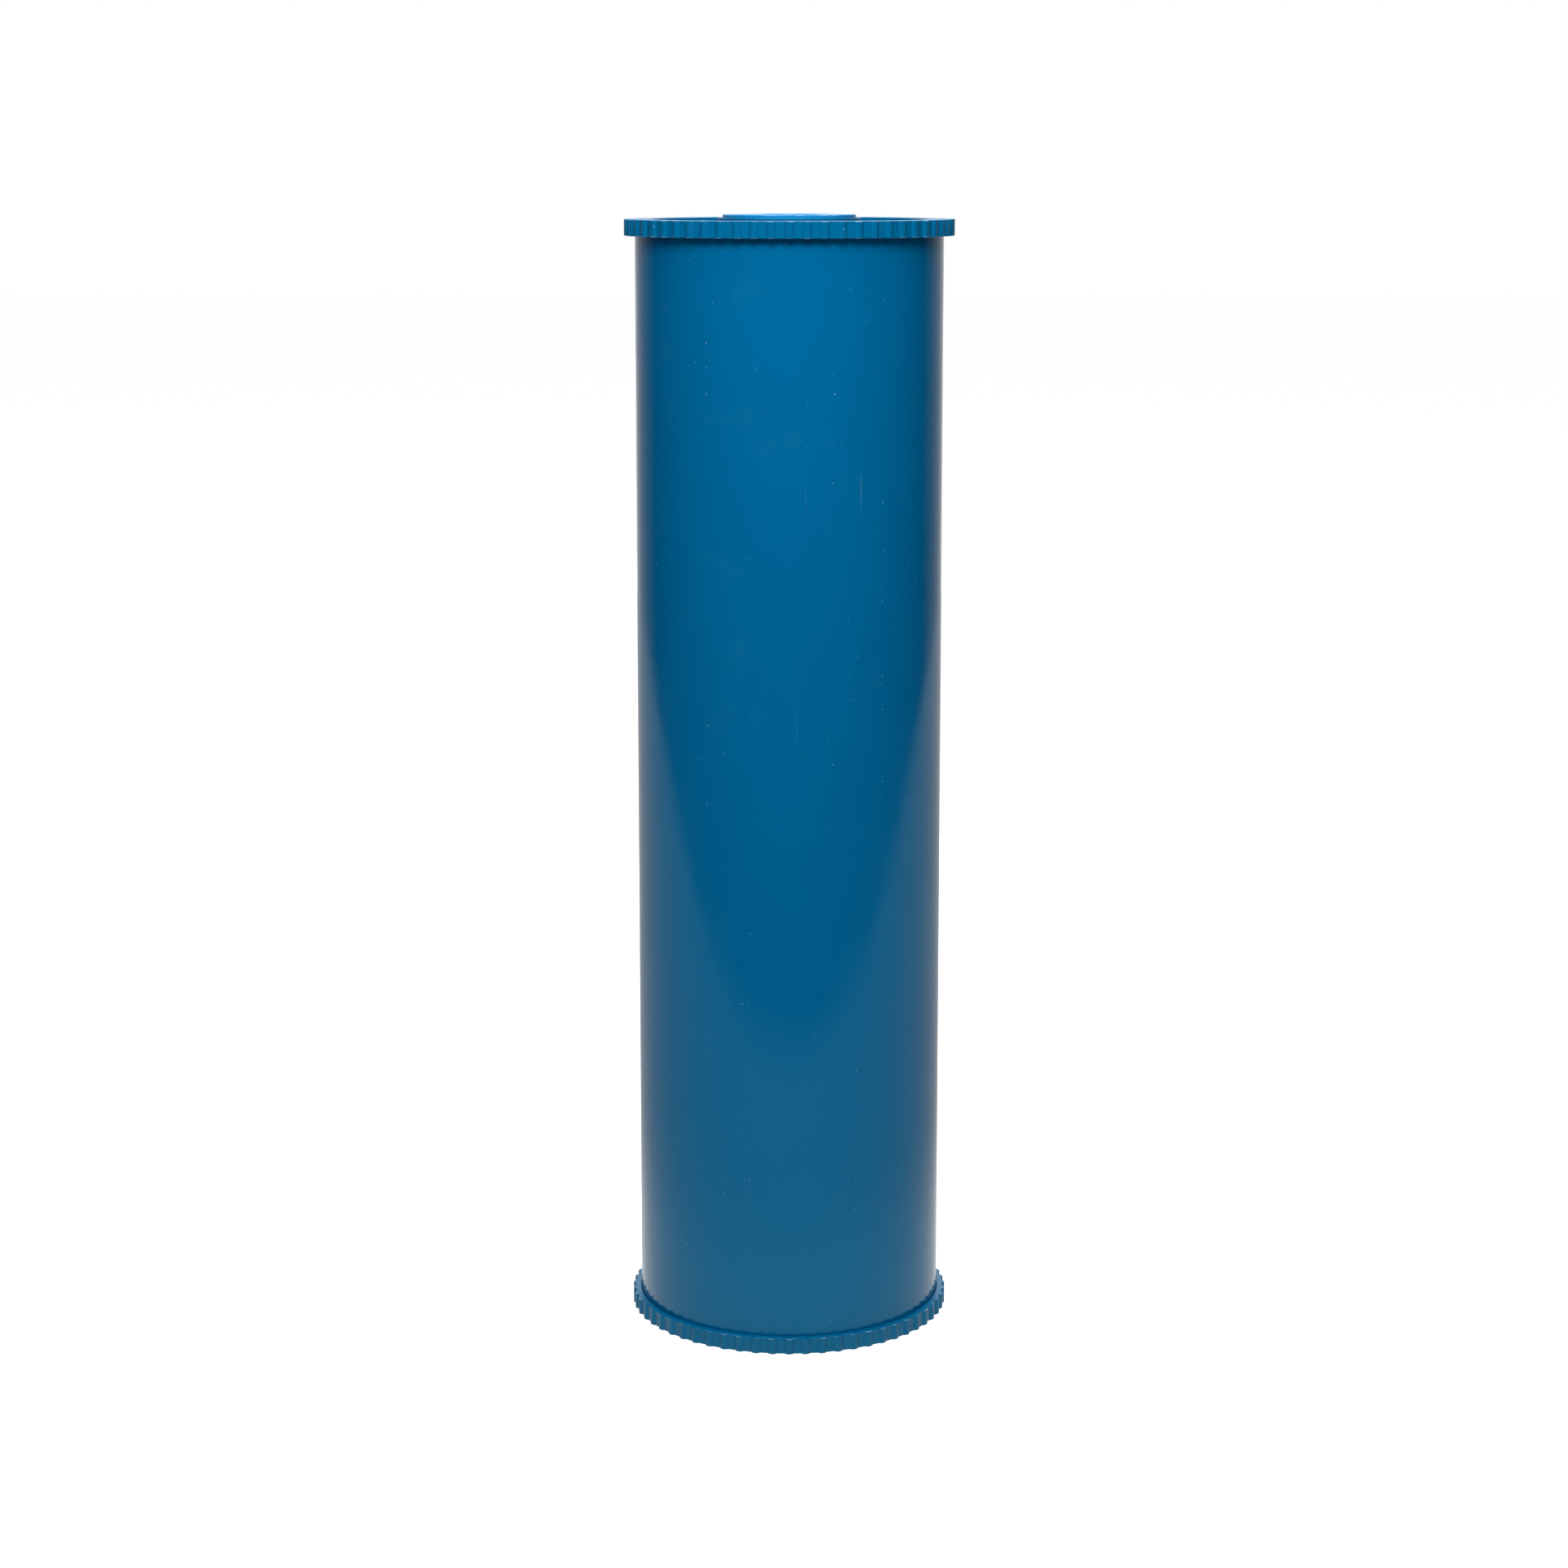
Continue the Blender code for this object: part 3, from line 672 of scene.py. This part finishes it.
def cap_outside():
    """Corners shared by both caps, down the outside from the rim face to the web's underside."""
    groove_top = RETAINER_HIGH.z - RIM_Z + GAP
    groove_bottom = RETAINER_LOW.z - RIM_Z - GAP
    return [
        (LAND_RADIUS, 0.0, RIM_FILLET),
        (LAND_RADIUS, -RIM_HEIGHT, RIM_FILLET),
        (SKIRT_RADIUS, -RIM_HEIGHT, 0.12 * MM),
        (SKIRT_RADIUS, -FLANGE, 0.0),
        (PILOT_RADIUS, -FLANGE, 0.0),
        (PILOT_RADIUS, -PILOT_DEPTH, 0.2 * MM),
        (CORE_RADIUS, -PILOT_DEPTH - (PILOT_RADIUS - CORE_RADIUS), 0.2 * MM),
        (CORE_RADIUS, -PLUG_END, 0.35 * MM),
        (PLUG_BORE, -PLUG_END, 0.2 * MM),
        (PLUG_BORE, groove_bottom, 0.0),
        (GROOVE_RADIUS, groove_bottom, 0.0),
        (GROOVE_RADIUS, groove_top, 0.0),
        (PLUG_BORE, groove_top, 0.0),
        (PLUG_BORE, -LEDGE_DEPTH, 0.0),
        (LEDGE_RADIUS, -LEDGE_DEPTH, 0.2 * MM),
        (LEDGE_RADIUS, -RECESS_DEPTH - WEB, 0.3 * MM),
    ]


def thread_start():
    """Height of the middle of a cap thread's first section, in the cap's frame."""
    return -PLUG_END + THREAD_BASE / 2 + GAP


def make_top_cap():
    seat = GASKET_LOW.z - RIM_Z - GAP
    corners = cap_outside() + [
        (OUTLET_RADIUS, -RECESS_DEPTH - WEB, 0.3 * MM),
        (OUTLET_RADIUS, seat, 0.15 * MM),
        (SEAT_RADIUS, seat, 0.0),
        (SEAT_RADIUS, HUB_RISE, 0.1 * MM),
        (HUB_RADIUS, HUB_RISE, 0.15 * MM),
        (HUB_RADIUS, HUB_RISE - HUB_FLANGE, 0.2 * MM),
        (NECK_RADIUS, HUB_RISE - HUB_FLANGE, 0.5 * MM),
        (NECK_RADIUS, -RECESS_DEPTH, 0.8 * MM),
        (RECESS_RADIUS, -RECESS_DEPTH, 0.8 * MM),
        (RECESS_RADIUS, 0.0, 0.3 * MM),
    ]
    mesh = cap_mesh("top_cap_body", corners, True)
    place_end(mesh, False)
    finish_piece("top_cap_body", mesh, CAP_BLUE, "top_cap", ("top_cap",))
    crest = CORE_RADIUS + THREAD_HEIGHT
    ridge = helix_ridge("top_cap_thread", CORE_RADIUS - THREAD_SINK, crest, thread_start())
    place_end(ridge, False)
    finish_piece("top_cap_thread", ridge, CAP_BLUE, "top_cap")
    make_recess_ribs()


def make_recess_ribs():
    """Radial stiffening ribs on the recess floor.

    Each is a round-topped section carried along a radius: the half width is t (1 - 0.15 s), and
    the height s rises from just under the floor to the rib's top by the sine of the way round.
    """
    length = np.linspace(NECK_RADIUS - 0.3 * MM, RECESS_RADIUS + 0.3 * MM, 24)
    around = np.linspace(0, math.pi, 13)
    across = np.cos(around) * RIB_THICKNESS / 2 * (1 - 0.15 * np.sin(around))
    height = np.sin(around) ** 0.35 * RIB_HEIGHT
    across = np.r_[RIB_THICKNESS / 2, across, -RIB_THICKNESS / 2]
    height = np.r_[-0.3 * MM, height, -0.3 * MM]
    meshes = []
    for index in range(RIB_COUNT):
        angle = index * TURN / RIB_COUNT
        out = np.array((math.cos(angle), math.sin(angle)))
        side = np.array((-math.sin(angle), math.cos(angle)))
        flat = length[None, :, None] * out + across[:, None, None] * side
        z = np.broadcast_to(height[:, None, None] - RECESS_DEPTH + RIM_Z, (len(height), len(length), 1))
        meshes.append(grid_mesh(f"rib_{index}", np.concatenate((flat, z), axis=-1), True, False))
    mesh = joined("recess_ribs", meshes)
    close_ends(mesh)
    finish_piece("recess_ribs", mesh, CAP_BLUE, "top_cap")


def joined(name, meshes):
    """One mesh that holds the solids of several, which are removed."""
    work = bmesh.new()
    for mesh in meshes:
        work.from_mesh(mesh)
        bpy.data.meshes.remove(mesh)
    whole = bpy.data.meshes.new(name)
    work.to_mesh(whole)
    work.free()
    return whole


def slot_cutter():
    """Twelve upright prisms, each the outline of a slot with round ends, to cut the bottom web."""
    radius = SLOT_WIDTH / 2
    turn = np.linspace(-math.pi / 2, math.pi / 2, 9)
    x = np.r_[SLOT_OUTER - radius + radius * np.cos(turn), SLOT_INNER + radius - radius * np.cos(turn)]
    y = np.r_[radius * np.sin(turn), -radius * np.sin(turn)]
    levels = np.array((-RECESS_DEPTH + 1.0 * MM, -RECESS_DEPTH - WEB - 0.5 * MM))
    meshes = []
    for index in range(SLOT_COUNT):
        angle = index * TURN / SLOT_COUNT
        turned_x = x * math.cos(angle) - y * math.sin(angle)
        turned_y = x * math.sin(angle) + y * math.cos(angle)
        flat = np.stack((turned_x, turned_y), axis=-1)
        grid = np.stack([np.c_[flat, np.full(len(x), level)] for level in levels])
        meshes.append(grid_mesh(f"slot_{index}", grid, False, True))
    cutter = joined("slot_cutter", meshes)
    close_ends(cutter)
    return cutter


def cut(mesh, cutter_mesh):
    """The mesh with the cutter's solids taken out of it."""
    body = bpy.data.objects.new("cut_body", mesh)
    cutter = bpy.data.objects.new("cut_tool", cutter_mesh)
    for item in (body, cutter):
        bpy.context.scene.collection.objects.link(item)
    step = body.modifiers.new("cut", "BOOLEAN")
    step.operation = "DIFFERENCE"
    step.solver = "EXACT"
    step.object = cutter
    bpy.context.view_layer.update()
    result = bpy.data.meshes.new_from_object(body.evaluated_get(bpy.context.evaluated_depsgraph_get()))
    for item in (body, cutter):
        bpy.data.objects.remove(item)
    return result


def make_bottom_cap():
    corners = [
        (0.0, -RECESS_DEPTH, 0.0),
        (SOCKET_RADIUS, -RECESS_DEPTH, 0.4 * MM),
        (SOCKET_RADIUS, -SOCKET_SETBACK, 0.3 * MM),
        (SOCKET_OUTER, -SOCKET_SETBACK, 0.3 * MM),
        (SOCKET_OUTER, -RECESS_DEPTH, 0.8 * MM),
        (RECESS_RADIUS, -RECESS_DEPTH, 0.8 * MM),
        (RECESS_RADIUS, 0.0, 0.3 * MM),
    ] + cap_outside() + [(0.0, -RECESS_DEPTH - WEB, 0.0)]
    mesh = cut(cap_mesh("bottom_cap_body", corners, False), slot_cutter())
    place_end(mesh, True)
    finish_piece("bottom_cap_body", mesh, CAP_BLUE, "bottom_cap", ("bottom_cap",))
    crest = CORE_RADIUS + THREAD_HEIGHT
    ridge = helix_ridge("bottom_cap_thread", CORE_RADIUS - THREAD_SINK, crest, thread_start())
    place_end(ridge, True)
    finish_piece("bottom_cap_thread", ridge, CAP_BLUE, "bottom_cap")


def make_tube():
    """The tube, very slightly wider at the bottom than at the top, and the thread inside each end."""
    corners = [
        (TUBE_RADIUS - TUBE_DRAFT, TUBE_HIGH.z, 0.2 * MM),
        (TUBE_RADIUS + TUBE_DRAFT, TUBE_LOW.z, 0.2 * MM),
        (BORE_RADIUS, TUBE_LOW.z, 0.3 * MM),
        (BORE_RADIUS, TUBE_HIGH.z, 0.3 * MM),
    ]
    mesh = turned_mesh("tube_wall", corners, 360)
    finish_piece("tube_wall", mesh, TUBE_BLUE, "shell", ("shell_tube",))
    for end, turned_over in (("top", False), ("bottom", True)):
        start = thread_start() - THREAD_PITCH / 2
        ridge = helix_ridge(f"tube_thread_{end}", BORE_RADIUS + THREAD_SINK, CREST_RADIUS, start)
        place_end(ridge, turned_over)
        finish_piece(f"tube_thread_{end}", ridge, TUBE_BLUE, "shell")


def make_gasket():
    corners = [
        (GASKET_RADIUS, GASKET_HIGH.z, 0.18 * MM),
        (GASKET_RADIUS, GASKET_LOW.z, 0.15 * MM),
        (OUTLET_RADIUS, GASKET_LOW.z, 0.15 * MM),
        (OUTLET_RADIUS, GASKET_HIGH.z, 0.25 * MM),
    ]
    mesh = turned_mesh("gasket_ring", corners, 200)
    finish_piece("gasket_ring", mesh, GASKET_BLUE, "top_cap", ("outlet_gasket",))


def make_seals():
    for name, node, body in (
        ("top_seal_ring", "top_shell_seal", "top_seal"),
        ("bottom_seal_ring", "bottom_shell_seal", "bottom_seal"),
    ):
        low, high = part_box(node)
        corners = [
            (TUBE_RADIUS, high.z, 0.3 * MM),
            (TUBE_RADIUS, low.z, 0.3 * MM),
            (BORE_RADIUS, low.z, 0.3 * MM),
            (BORE_RADIUS, high.z, 0.3 * MM),
        ]
        finish_piece(name, turned_mesh(name, corners, 200), SEAL_BLACK, body, (node,))


def spread(outline, step):
    """Points put along an outline about one step apart, keeping its corners."""
    parts = []
    for start, end in zip(outline[:-1], outline[1:]):
        count = max(2, int(round(np.linalg.norm(end - start) / step)) + 1)
        parts.append(start + np.linspace(0, 1, count)[:-1, None] * (end - start))
    return np.vstack(parts + [outline[-1:]])


def soft_solid(name, corners, step, columns, dents):
    """A turned solid whose surface is pressed in by dents, given as a function of x, y and z.

    A point on an end face moves toward the middle height by its dent, and one on the outermost
    side toward the axis. The dent fades to 0 over the tenth of the radius next to the axis.
    """
    outline = spread(rounded(corners, False)[0], step)
    grid = swept_round(outline, even_angles(columns))
    depth = dents(grid[..., 0], grid[..., 1], grid[..., 2])
    radius = np.linalg.norm(grid[..., :2], axis=-1)
    widest, middle = radius.max(), 0.5 * (grid[..., 2].max() + grid[..., 2].min())
    depth = depth * np.clip(radius / (0.1 * widest), 0, 1)
    side = np.clip((radius - 0.97 * widest) / (0.03 * widest), 0, 1)
    grid[..., :2] *= (1 - side * depth / np.maximum(radius, MM))[..., None]
    half = np.abs(grid[..., 2] - middle).max()
    flat = np.clip(np.abs(grid[..., 2] - middle) / half * 4 - 3, 0, 1)
    grid[..., 2] -= np.sign(grid[..., 2] - middle) * flat * depth
    mesh = grid_mesh(name, grid, False, True)
    merge_poles(mesh)
    return mesh


def disc_corners(radius, low, high, fillet):
    """Corners of a solid disc's outline, from the axis to the axis."""
    return [(0.0, high, 0.0), (radius, high, fillet), (radius, low, fillet), (0.0, low, 0.0)]


def quilted(x, y, z):
    """Shallow waves across a needled pad: 0.08 mm (1 + a broad wave) + 0.03 mm (1 + a fine one).

    The broad wave is sin ax sin (by + 0.7), and the fine one bends its x wave by a wave in y.
    """
    broad = np.sin(x / (2.1 * MM)) * np.sin(y / (2.6 * MM) + 0.7)
    fine = np.sin(x / (0.7 * MM) + 2 * np.sin(y / (1.9 * MM))) * np.sin(y / (0.9 * MM))
    return 0.08 * MM * (1 + broad) + 0.03 * MM * (1 + fine)


def spongy(x, y, z):
    """Irregular hollows of a foam: products of waves at odd spacings."""
    first = np.sin(x / (1.3 * MM) + 1.7 * np.sin(y / (2.3 * MM)))
    second = np.sin(y / (1.1 * MM) + 1.3 * np.sin(x / (1.7 * MM)) + z / MM)
    return 0.12 * MM * (1 + first * second)


def granular(x, y, z):
    """Grains of a packed bed: a seeded random depth at each point, up to 0.5 mm."""
    return np.random.default_rng(11).random(x.shape) * 0.5 * MM


def woven(x, y, z):
    """A slight sag of the cloth between its threads."""
    return 0.03 * MM * (1 + np.sin(x / (0.8 * MM)) * np.sin(y / (0.8 * MM)))


def make_soft_pieces():
    """Felt and cloth discs of both stacks, the foam disc and the bed of grains."""
    for name, node, body, fillet, dents, material, slot in (
        ("outlet_felt", "post_filter_pad", "top_cap", FELT_FILLET, quilted, FELT, "felt"),
        ("inlet_felt", "inlet_filter_pad", "bottom_cap", FELT_FILLET, quilted, FELT, "felt"),
        ("outlet_cloth", "outlet_mesh", "top_cap", CLOTH_FILLET, woven, WOVEN_MESH, "mesh_cloth"),
        ("inlet_cloth", "inlet_mesh", "bottom_cap", CLOTH_FILLET, woven, WOVEN_MESH, "mesh_cloth"),
        ("foam_disc", "expansion_pad", "shell", FOAM_FILLET, spongy, FOAM, "foam"),
    ):
        low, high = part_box(node)
        corners = disc_corners(high.x, low.z, high.z, fillet)
        mesh = soft_solid(name, corners, SOFT_STEP, SOFT_COLUMNS, dents)
        finish_piece(name, mesh, material, body, (node,), SOFT_SHARP)
    low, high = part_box("carbon_bed")
    narrow, shoulder_z = FOAM_RADIUS, low.z + BED_SHOULDER
    corners = [
        (0.0, high.z, 0.0),
        (high.x, high.z, 0.4 * MM),
        (high.x, shoulder_z, 0.3 * MM),
        (narrow, shoulder_z, 0.3 * MM),
        (narrow, low.z, 0.4 * MM),
        (0.0, low.z, 0.0),
    ]
    mesh = soft_solid("carbon_grains", corners, GRAIN_STEP, GRAIN_COLUMNS, granular)
    finish_piece("carbon_grains", mesh, CARBON, "shell", ("carbon_bed",), 180.0)


def hole_cutter(low, high):
    """Upright round prisms for a screen's holes: one on the axis, six round it and twelve beyond."""
    turn = even_angles(32)
    meshes = []
    for ring, count in ((0, 1), (1, 6), (2, 12)):
        for angle in even_angles(count):
            x = ring * SCREEN_RING_STEP * math.cos(angle) + SCREEN_HOLE_RADIUS * np.cos(turn)
            y = ring * SCREEN_RING_STEP * math.sin(angle) + SCREEN_HOLE_RADIUS * np.sin(turn)
            grid = np.stack([np.stack((x, y, np.full(32, z)), axis=-1) for z in (high + MM, low - MM)])
            meshes.append(grid_mesh("hole", grid, False, True))
    cutter = joined("hole_cutter", meshes)
    close_ends(cutter)
    return cutter


def make_screens():
    """The perforated discs of both stacks."""
    for name, node, body in (
        ("outlet_screen_disc", "outlet_screen", "top_cap"),
        ("inlet_screen_disc", "inlet_screen", "bottom_cap"),
    ):
        low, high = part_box(node)
        corners = disc_corners(STACK_RADIUS, low.z, high.z, 0.25 * MM)
        mesh = cut(turned_mesh(name, corners, 180, closed=False), hole_cutter(low.z, high.z))
        finish_piece(name, mesh, WHITE_PLASTIC, body, (node,))


def make_retainers():
    """Split rings: a rounded section carried round the axis, short of a full turn by the split."""
    for name, node, body in (
        ("outlet_split_ring", "outlet_retainer", "top_cap"),
        ("inlet_split_ring", "inlet_retainer", "bottom_cap"),
    ):
        low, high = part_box(node)
        outer, inner, fillet = high.y, high.y - RETAINER_WIDTH, 0.2 * MM
        corners = [
            (outer, high.z, fillet), (outer, low.z, fillet), (inner, low.z, fillet), (inner, high.z, fillet)
        ]
        half = RETAINER_SPLIT / 2 / outer
        middle = RETAINER_TURN if body == "top_cap" else -RETAINER_TURN
        angles = np.linspace(middle + half, middle + TURN - half, 200)
        mesh = grid_mesh(name, swept_round(rounded(corners, True)[0], angles), True, False)
        close_ends(mesh)
        finish_piece(name, mesh, WHITE_PLASTIC, body, (node,))


# ---------------------------------------------------------------- studio

FILL_LIGHT = 0.05
PATCH_CENTRE = 0.49
PATCH_RADIUS = 0.77
PATCH_EDGE = 0.035
PATCH_LEVEL = 0.5


def look_at(item, target):
    way = np.array(target, float) - np.array(item.location, float)
    flat = math.hypot(way[0], way[1])
    item.rotation_euler = (math.pi / 2 + math.atan2(way[2], flat), 0.0, math.atan2(-way[0], way[1]))


def soft_light(name, at, target, size, power, glints):
    """A soft rectangular lamp; glints says whether the object may reflect it."""
    data = bpy.data.lights.new(name, "AREA")
    data.shape = "RECTANGLE"
    data.size, data.size_y = size
    data.energy = power
    light = bpy.data.objects.new(name, data)
    bpy.context.scene.collection.objects.link(light)
    light.location = at
    light.visible_glossy = glints
    look_at(light, target)


def stage_plane(name, corners, material):
    mesh = bpy.data.meshes.new(name)
    mesh.from_pydata(corners, [], [(0, 1, 2, 3)])
    mesh.materials.append(material)
    plane = bpy.data.objects.new(name, mesh)
    bpy.context.scene.collection.objects.link(plane)
    return plane


def white_world():
    """White to the camera, dim to diffuse rays and dark in reflections, as in a dark studio."""
    world = bpy.data.worlds.new("studio")
    world.use_nodes = True
    bpy.context.scene.world = world
    tree = world.node_tree
    rays = add(tree, "ShaderNodeLightPath")
    fill = maths(tree, "MULTIPLY", rays.outputs["Is Diffuse Ray"], FILL_LIGHT)
    level = maths(tree, "ADD", rays.outputs["Is Camera Ray"], fill)
    join(tree, level, tree.nodes["Background"].inputs["Strength"])
    tree.nodes["Background"].inputs["Color"].default_value = (1.0, 1.0, 1.0, 1.0)


def around_group():
    """How bright the room is to each side, by the angle t between a place and straight behind.

    Back falls in a line from 0.85 at t = 0 to 0 at 62 degrees, with a second line on top from
    0.4 to 0 at 20 degrees. Inside is 1 within the lit patch of floor and 0 outside it. Near is
    1.8 where the object stands, falling in a line to 1 at 175 mm from its axis.
    """
    tree, given, out = new_group(
        "around", [("Vector", VECTOR, None)], [("Back", FLOAT), ("Inside", FLOAT), ("Near", FLOAT)]
    )
    parts = add(tree, "ShaderNodeSeparateXYZ")
    join(tree, given.outputs["Vector"], parts.inputs["Vector"])
    x, y = parts.outputs["X"], parts.outputs["Y"]
    angle = maths(tree, "ARCTAN2", maths(tree, "ABSOLUTE", x), y)
    wide = maths(tree, "SUBTRACT", 1.0, maths(tree, "DIVIDE", angle, math.radians(62)), clamp=True)
    narrow = maths(tree, "SUBTRACT", 1.0, maths(tree, "DIVIDE", angle, math.radians(20)), clamp=True)
    back = maths(tree, "ADD", maths(tree, "MULTIPLY", wide, 0.85), maths(tree, "MULTIPLY", narrow, 0.4))
    join(tree, back, out.inputs["Back"])
    deep = maths(tree, "SUBTRACT", y, PATCH_CENTRE)
    squared = maths(tree, "ADD", maths(tree, "MULTIPLY", x, x), maths(tree, "MULTIPLY", deep, deep))
    distance = maths(tree, "SQRT", squared)
    patch = ramp(tree, distance, PATCH_RADIUS - PATCH_EDGE, PATCH_RADIUS + PATCH_EDGE, 1.0, 0.0)
    near = maths(tree, "ADD", maths(tree, "MULTIPLY", x, x), maths(tree, "MULTIPLY", y, y))
    near = ramp(tree, maths(tree, "SQRT", near), 0.045, 0.175, 1.8, 1.0)
    join(tree, patch, out.inputs["Inside"])
    join(tree, near, out.inputs["Near"])
    return tree


AROUND = around_group()


def white_floor():
    """A pale matt floor, white to the camera. In reflections only a patch of it is lit."""
    material, tree, shader, vector = start_material("white_floor")
    tone = use_group(tree, MOTTLE, vector, Cloud_Scale=4.0, Cloud_Depth=0.01, Grain_Depth=0.0)
    rays = add(tree, "ShaderNodeLightPath")
    glossy = rays.outputs["Is Glossy Ray"]
    shade = maths(tree, "MULTIPLY", tone.outputs["Factor"], maths(tree, "SUBTRACT", 1.0, glossy))
    join(tree, scaled_colour(tree, (0.47, 0.47, 0.47), shade), shader.inputs["Base Color"])
    shader.inputs["Roughness"].default_value = 0.9
    shader.inputs["Specular IOR Level"].default_value = 0.0
    shader.inputs["Emission Color"].default_value = (1.0, 1.0, 1.0, 1.0)
    around = add(tree, "ShaderNodeGroup", node_tree=AROUND)
    join(tree, vector, around.inputs["Vector"])
    inside = around.outputs["Inside"]
    beyond = maths(tree, "MULTIPLY", around.outputs["Back"], maths(tree, "SUBTRACT", 1.0, inside))
    patch = maths(tree, "MULTIPLY", maths(tree, "MULTIPLY", inside, around.outputs["Near"]), PATCH_LEVEL)
    level = maths(tree, "ADD", patch, beyond)
    seen = maths(tree, "MULTIPLY", rays.outputs["Is Camera Ray"], 0.97)
    bounce = maths(tree, "MULTIPLY", maths(tree, "MULTIPLY", rays.outputs["Is Diffuse Ray"], inside), 0.05)
    lit = maths(tree, "ADD", maths(tree, "ADD", seen, bounce), maths(tree, "MULTIPLY", level, glossy))
    join(tree, lit, shader.inputs["Emission Strength"])
    see_through_below(tree, shader)
    return material


def see_through_below(tree, shader):
    """Lets the camera see up through the floor, so that the underside can be looked at."""
    mix = add(tree, "ShaderNodeMixShader")
    clear = add(tree, "ShaderNodeBsdfTransparent")
    join(tree, add(tree, "ShaderNodeNewGeometry").outputs["Backfacing"], mix.inputs["Fac"])
    join(tree, shader.outputs["BSDF"], mix.inputs[1])
    join(tree, clear.outputs["BSDF"], mix.inputs[2])
    join(tree, mix.outputs["Shader"], tree.nodes["Material Output"].inputs["Surface"])


def backdrop_glow():
    """A screen behind the object that glows in reflections, brightest straight behind."""
    material, tree, shader, vector = start_material("backdrop_glow")
    shader.inputs["Base Color"].default_value = (0.0, 0.0, 0.0, 1.0)
    shader.inputs["Specular IOR Level"].default_value = 0.0
    shader.inputs["Emission Color"].default_value = (1.0, 1.0, 1.0, 1.0)
    around = add(tree, "ShaderNodeGroup", node_tree=AROUND)
    join(tree, vector, around.inputs["Vector"])
    join(tree, around.outputs["Back"], shader.inputs["Emission Strength"])
    return material


def make_studio():
    reach, low = 6.0, -0.1 * MM
    corners = [(-reach, -reach, low), (reach, -reach, low), (reach, reach, low), (-reach, reach, low)]
    floor = stage_plane("floor", corners, white_floor())
    floor.visible_shadow = False
    behind, side, height = 1.3, 2.5, 1.2
    corners = [(-side, behind, 0), (side, behind, 0), (side, behind, height), (-side, behind, height)]
    back = stage_plane("backdrop", corners, backdrop_glow())
    back.visible_camera = False
    back.visible_diffuse = False
    back.visible_shadow = False
    soft_light("key", (-0.012, -0.36, 0.51), (0.0, 0.0, 0.2), (0.30, 0.20), 2.25, False)
    soft_light("top", (0.0, -0.02, 1.1), (0.0, 0.0, 0.0), (0.7, 0.7), 5.8, True)
    soft_light("rear", (0.05, 0.45, 0.50), (0.0, 0.0, 0.15), (0.35, 0.25), 2.2, False)
    soft_light("under", (0.0, 0.0, -0.5), (0.0, 0.0, 0.0), (0.2, 0.2), 0.5, False)


def make_camera():
    """A long lens a little above the rim, looking down; the shift keeps the framing."""
    distance = 0.680
    tilt = math.radians(10.37)
    data = bpy.data.cameras.new("camera")
    data.sensor_width = 36.0
    data.lens = 69.85
    data.shift_y = -0.0342
    camera = bpy.data.objects.new("camera", data)
    bpy.context.scene.collection.objects.link(camera)
    camera.location = (0.0, -distance, RIM_Z + 0.0098)
    camera.rotation_euler = (math.pi / 2 - tilt, 0.0, math.radians(0.0994))
    bpy.context.scene.camera = camera


make_tube()
make_top_cap()
make_bottom_cap()
make_gasket()
make_seals()
make_screens()
make_soft_pieces()
make_retainers()
white_world()
make_studio()
make_camera()
bpy.context.scene.view_settings.view_transform = "Standard"
